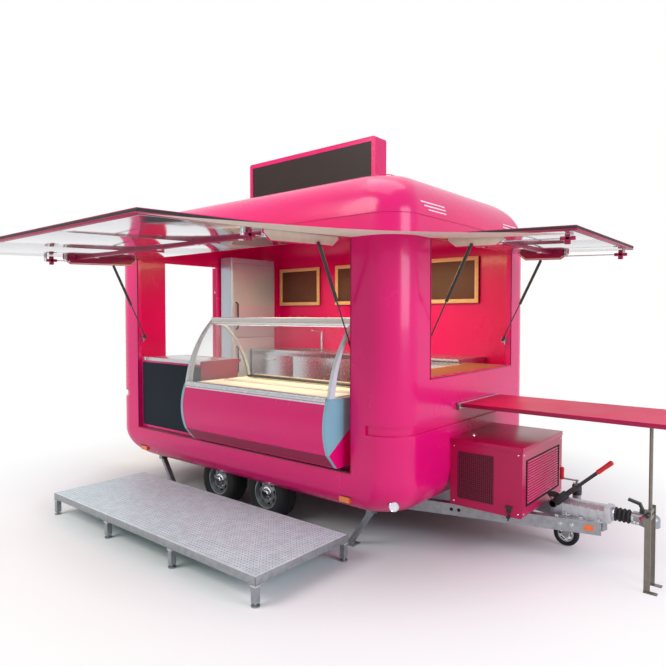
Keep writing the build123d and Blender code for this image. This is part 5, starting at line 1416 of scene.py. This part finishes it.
def studio():
    grid = bmesh.new()
    bmesh.ops.create_grid(grid, x_segments=12, y_segments=12, size=60.0)
    mesh = bpy.data.meshes.new("studio_floor")
    grid.to_mesh(mesh)
    grid.free()
    floor = linked("studio_floor", mesh)
    floor.location = (ORIGIN.x, ORIGIN.y, -0.001)
    made = finish("floor", (247, 247, 248), rough=0.9, spread=0.01, grain=1.0, bump=0.0)
    tree = made.node_tree
    shader, output = tree.nodes["Principled BSDF"], tree.nodes["Material Output"]
    where = add(tree, "ShaderNodeTexCoord")
    reach = add(
        tree, "ShaderNodeVectorMath", {0: where.outputs["Object"]}, operation="LENGTH"
    ).outputs["Value"]
    # Floor colour by distance from the body's middle: painted shadow darkens it near the body.
    near = add(tree, "ShaderNodeMapRange", {"Value": reach, "From Max": FLOOR_SHADOW_REACH}).outputs["Result"]
    tree.links.new(ramp(tree, near, FLOOR_PAINTED_SHADOW), shader.inputs["Base Color"])
    limits = {"Value": reach, "From Min": FLOOR_FADE[0], "From Max": FLOOR_FADE[1]}
    fade = add(tree, "ShaderNodeMapRange", limits, interpolation_type="SMOOTHSTEP").outputs["Result"]
    looked_at = seen_rays(tree)[1]
    seen = add(tree, "ShaderNodeMath", {0: looked_at, 1: fade}, operation="MULTIPLY")
    white = add(tree, "ShaderNodeEmission", {"Color": (1.0, 1.0, 1.0, 1.0)})
    layers = {"Fac": seen.outputs["Value"], 1: shader.outputs["BSDF"], 2: white.outputs["Emission"]}
    tree.links.new(add(tree, "ShaderNodeMixShader", layers).outputs["Shader"], output.inputs["Surface"])
    mesh.materials.append(made)

    world = bpy.data.worlds.new("studio")
    bpy.context.scene.world = world
    world.use_nodes = True
    tree = world.node_tree
    tree.nodes.clear()
    path, looked_at = seen_rays(tree)
    pair = {0: looked_at, 1: path["Is Transmission Ray"]}
    second = add(tree, "ShaderNodeMath", pair, operation="MAXIMUM")
    bright = add(tree, "ShaderNodeBackground", {"Color": (1.0, 1.0, 1.0, 1.0)})
    soft = add(tree, "ShaderNodeBackground", {"Color": (0.95, 0.97, 1.0, 1.0), "Strength": SOFT_LIGHT})
    layers = {"Fac": second.outputs["Value"], 1: soft.outputs["Background"], 2: bright.outputs["Background"]}
    output = add(tree, "ShaderNodeOutputWorld")
    tree.links.new(add(tree, "ShaderNodeMixShader", layers).outputs["Shader"], output.inputs["Surface"])


def lamp(name, spot, target, size, power, rgb):
    light = bpy.data.lights.new(name, "AREA")
    light.size = size
    light.energy = power
    light.color = rgb
    holder = linked(name, light)
    holder.location = place(*spot)
    holder.rotation_euler = (place(*target) - place(*spot)).to_track_quat("-Z", "Y").to_euler()


LAMPS = (
    ("key", (-1.5, -6.5, 6.0), (0.2, -0.8, 1.2), 4.0, 350.0, (1.0, 0.98, 0.96)),
    ("overhead", (0.3, -0.4, 7.5), (0.3, -0.4, 0.0), 5.0, 160.0, (1.0, 1.0, 1.0)),
    ("front_fill", (7.5, -1.0, 3.2), (1.2, 0.0, 1.2), 3.5, 265.0, (0.88, 0.84, 1.0)),
    ("ceiling_rear", (-0.35, -0.1, 2.38), (-0.35, -0.1, 0.0), 0.9, 20.0, (1.0, 0.85, 0.42)),
    ("ceiling_front", (0.75, -0.1, 2.38), (0.75, -0.1, 0.0), 0.9, 24.0, (1.0, 0.85, 0.42)),
)


def camera():
    eye = bpy.data.cameras.new("photo_camera")
    eye.sensor_width = 36.0
    eye.lens = 31.48
    eye.clip_end = 300.0
    holder = linked("photo_camera", eye)
    yaw, pitch = math.radians(39.775), math.radians(1.746)
    ahead = Vector((-math.sin(yaw) * math.cos(pitch), math.cos(yaw) * math.cos(pitch), -math.sin(pitch)))
    right = Vector((math.cos(yaw), math.sin(yaw), 0.0))
    above = right.cross(ahead)
    turn = Matrix((right, above, -ahead)).transposed()
    holder.matrix_world = Matrix.Translation(place(3.820, -4.280, 1.733)) @ turn.to_4x4()
    bpy.context.scene.camera = holder


studio()
for row in LAMPS:
    lamp(*row)
camera()
bpy.context.scene.view_settings.view_transform = "Standard"
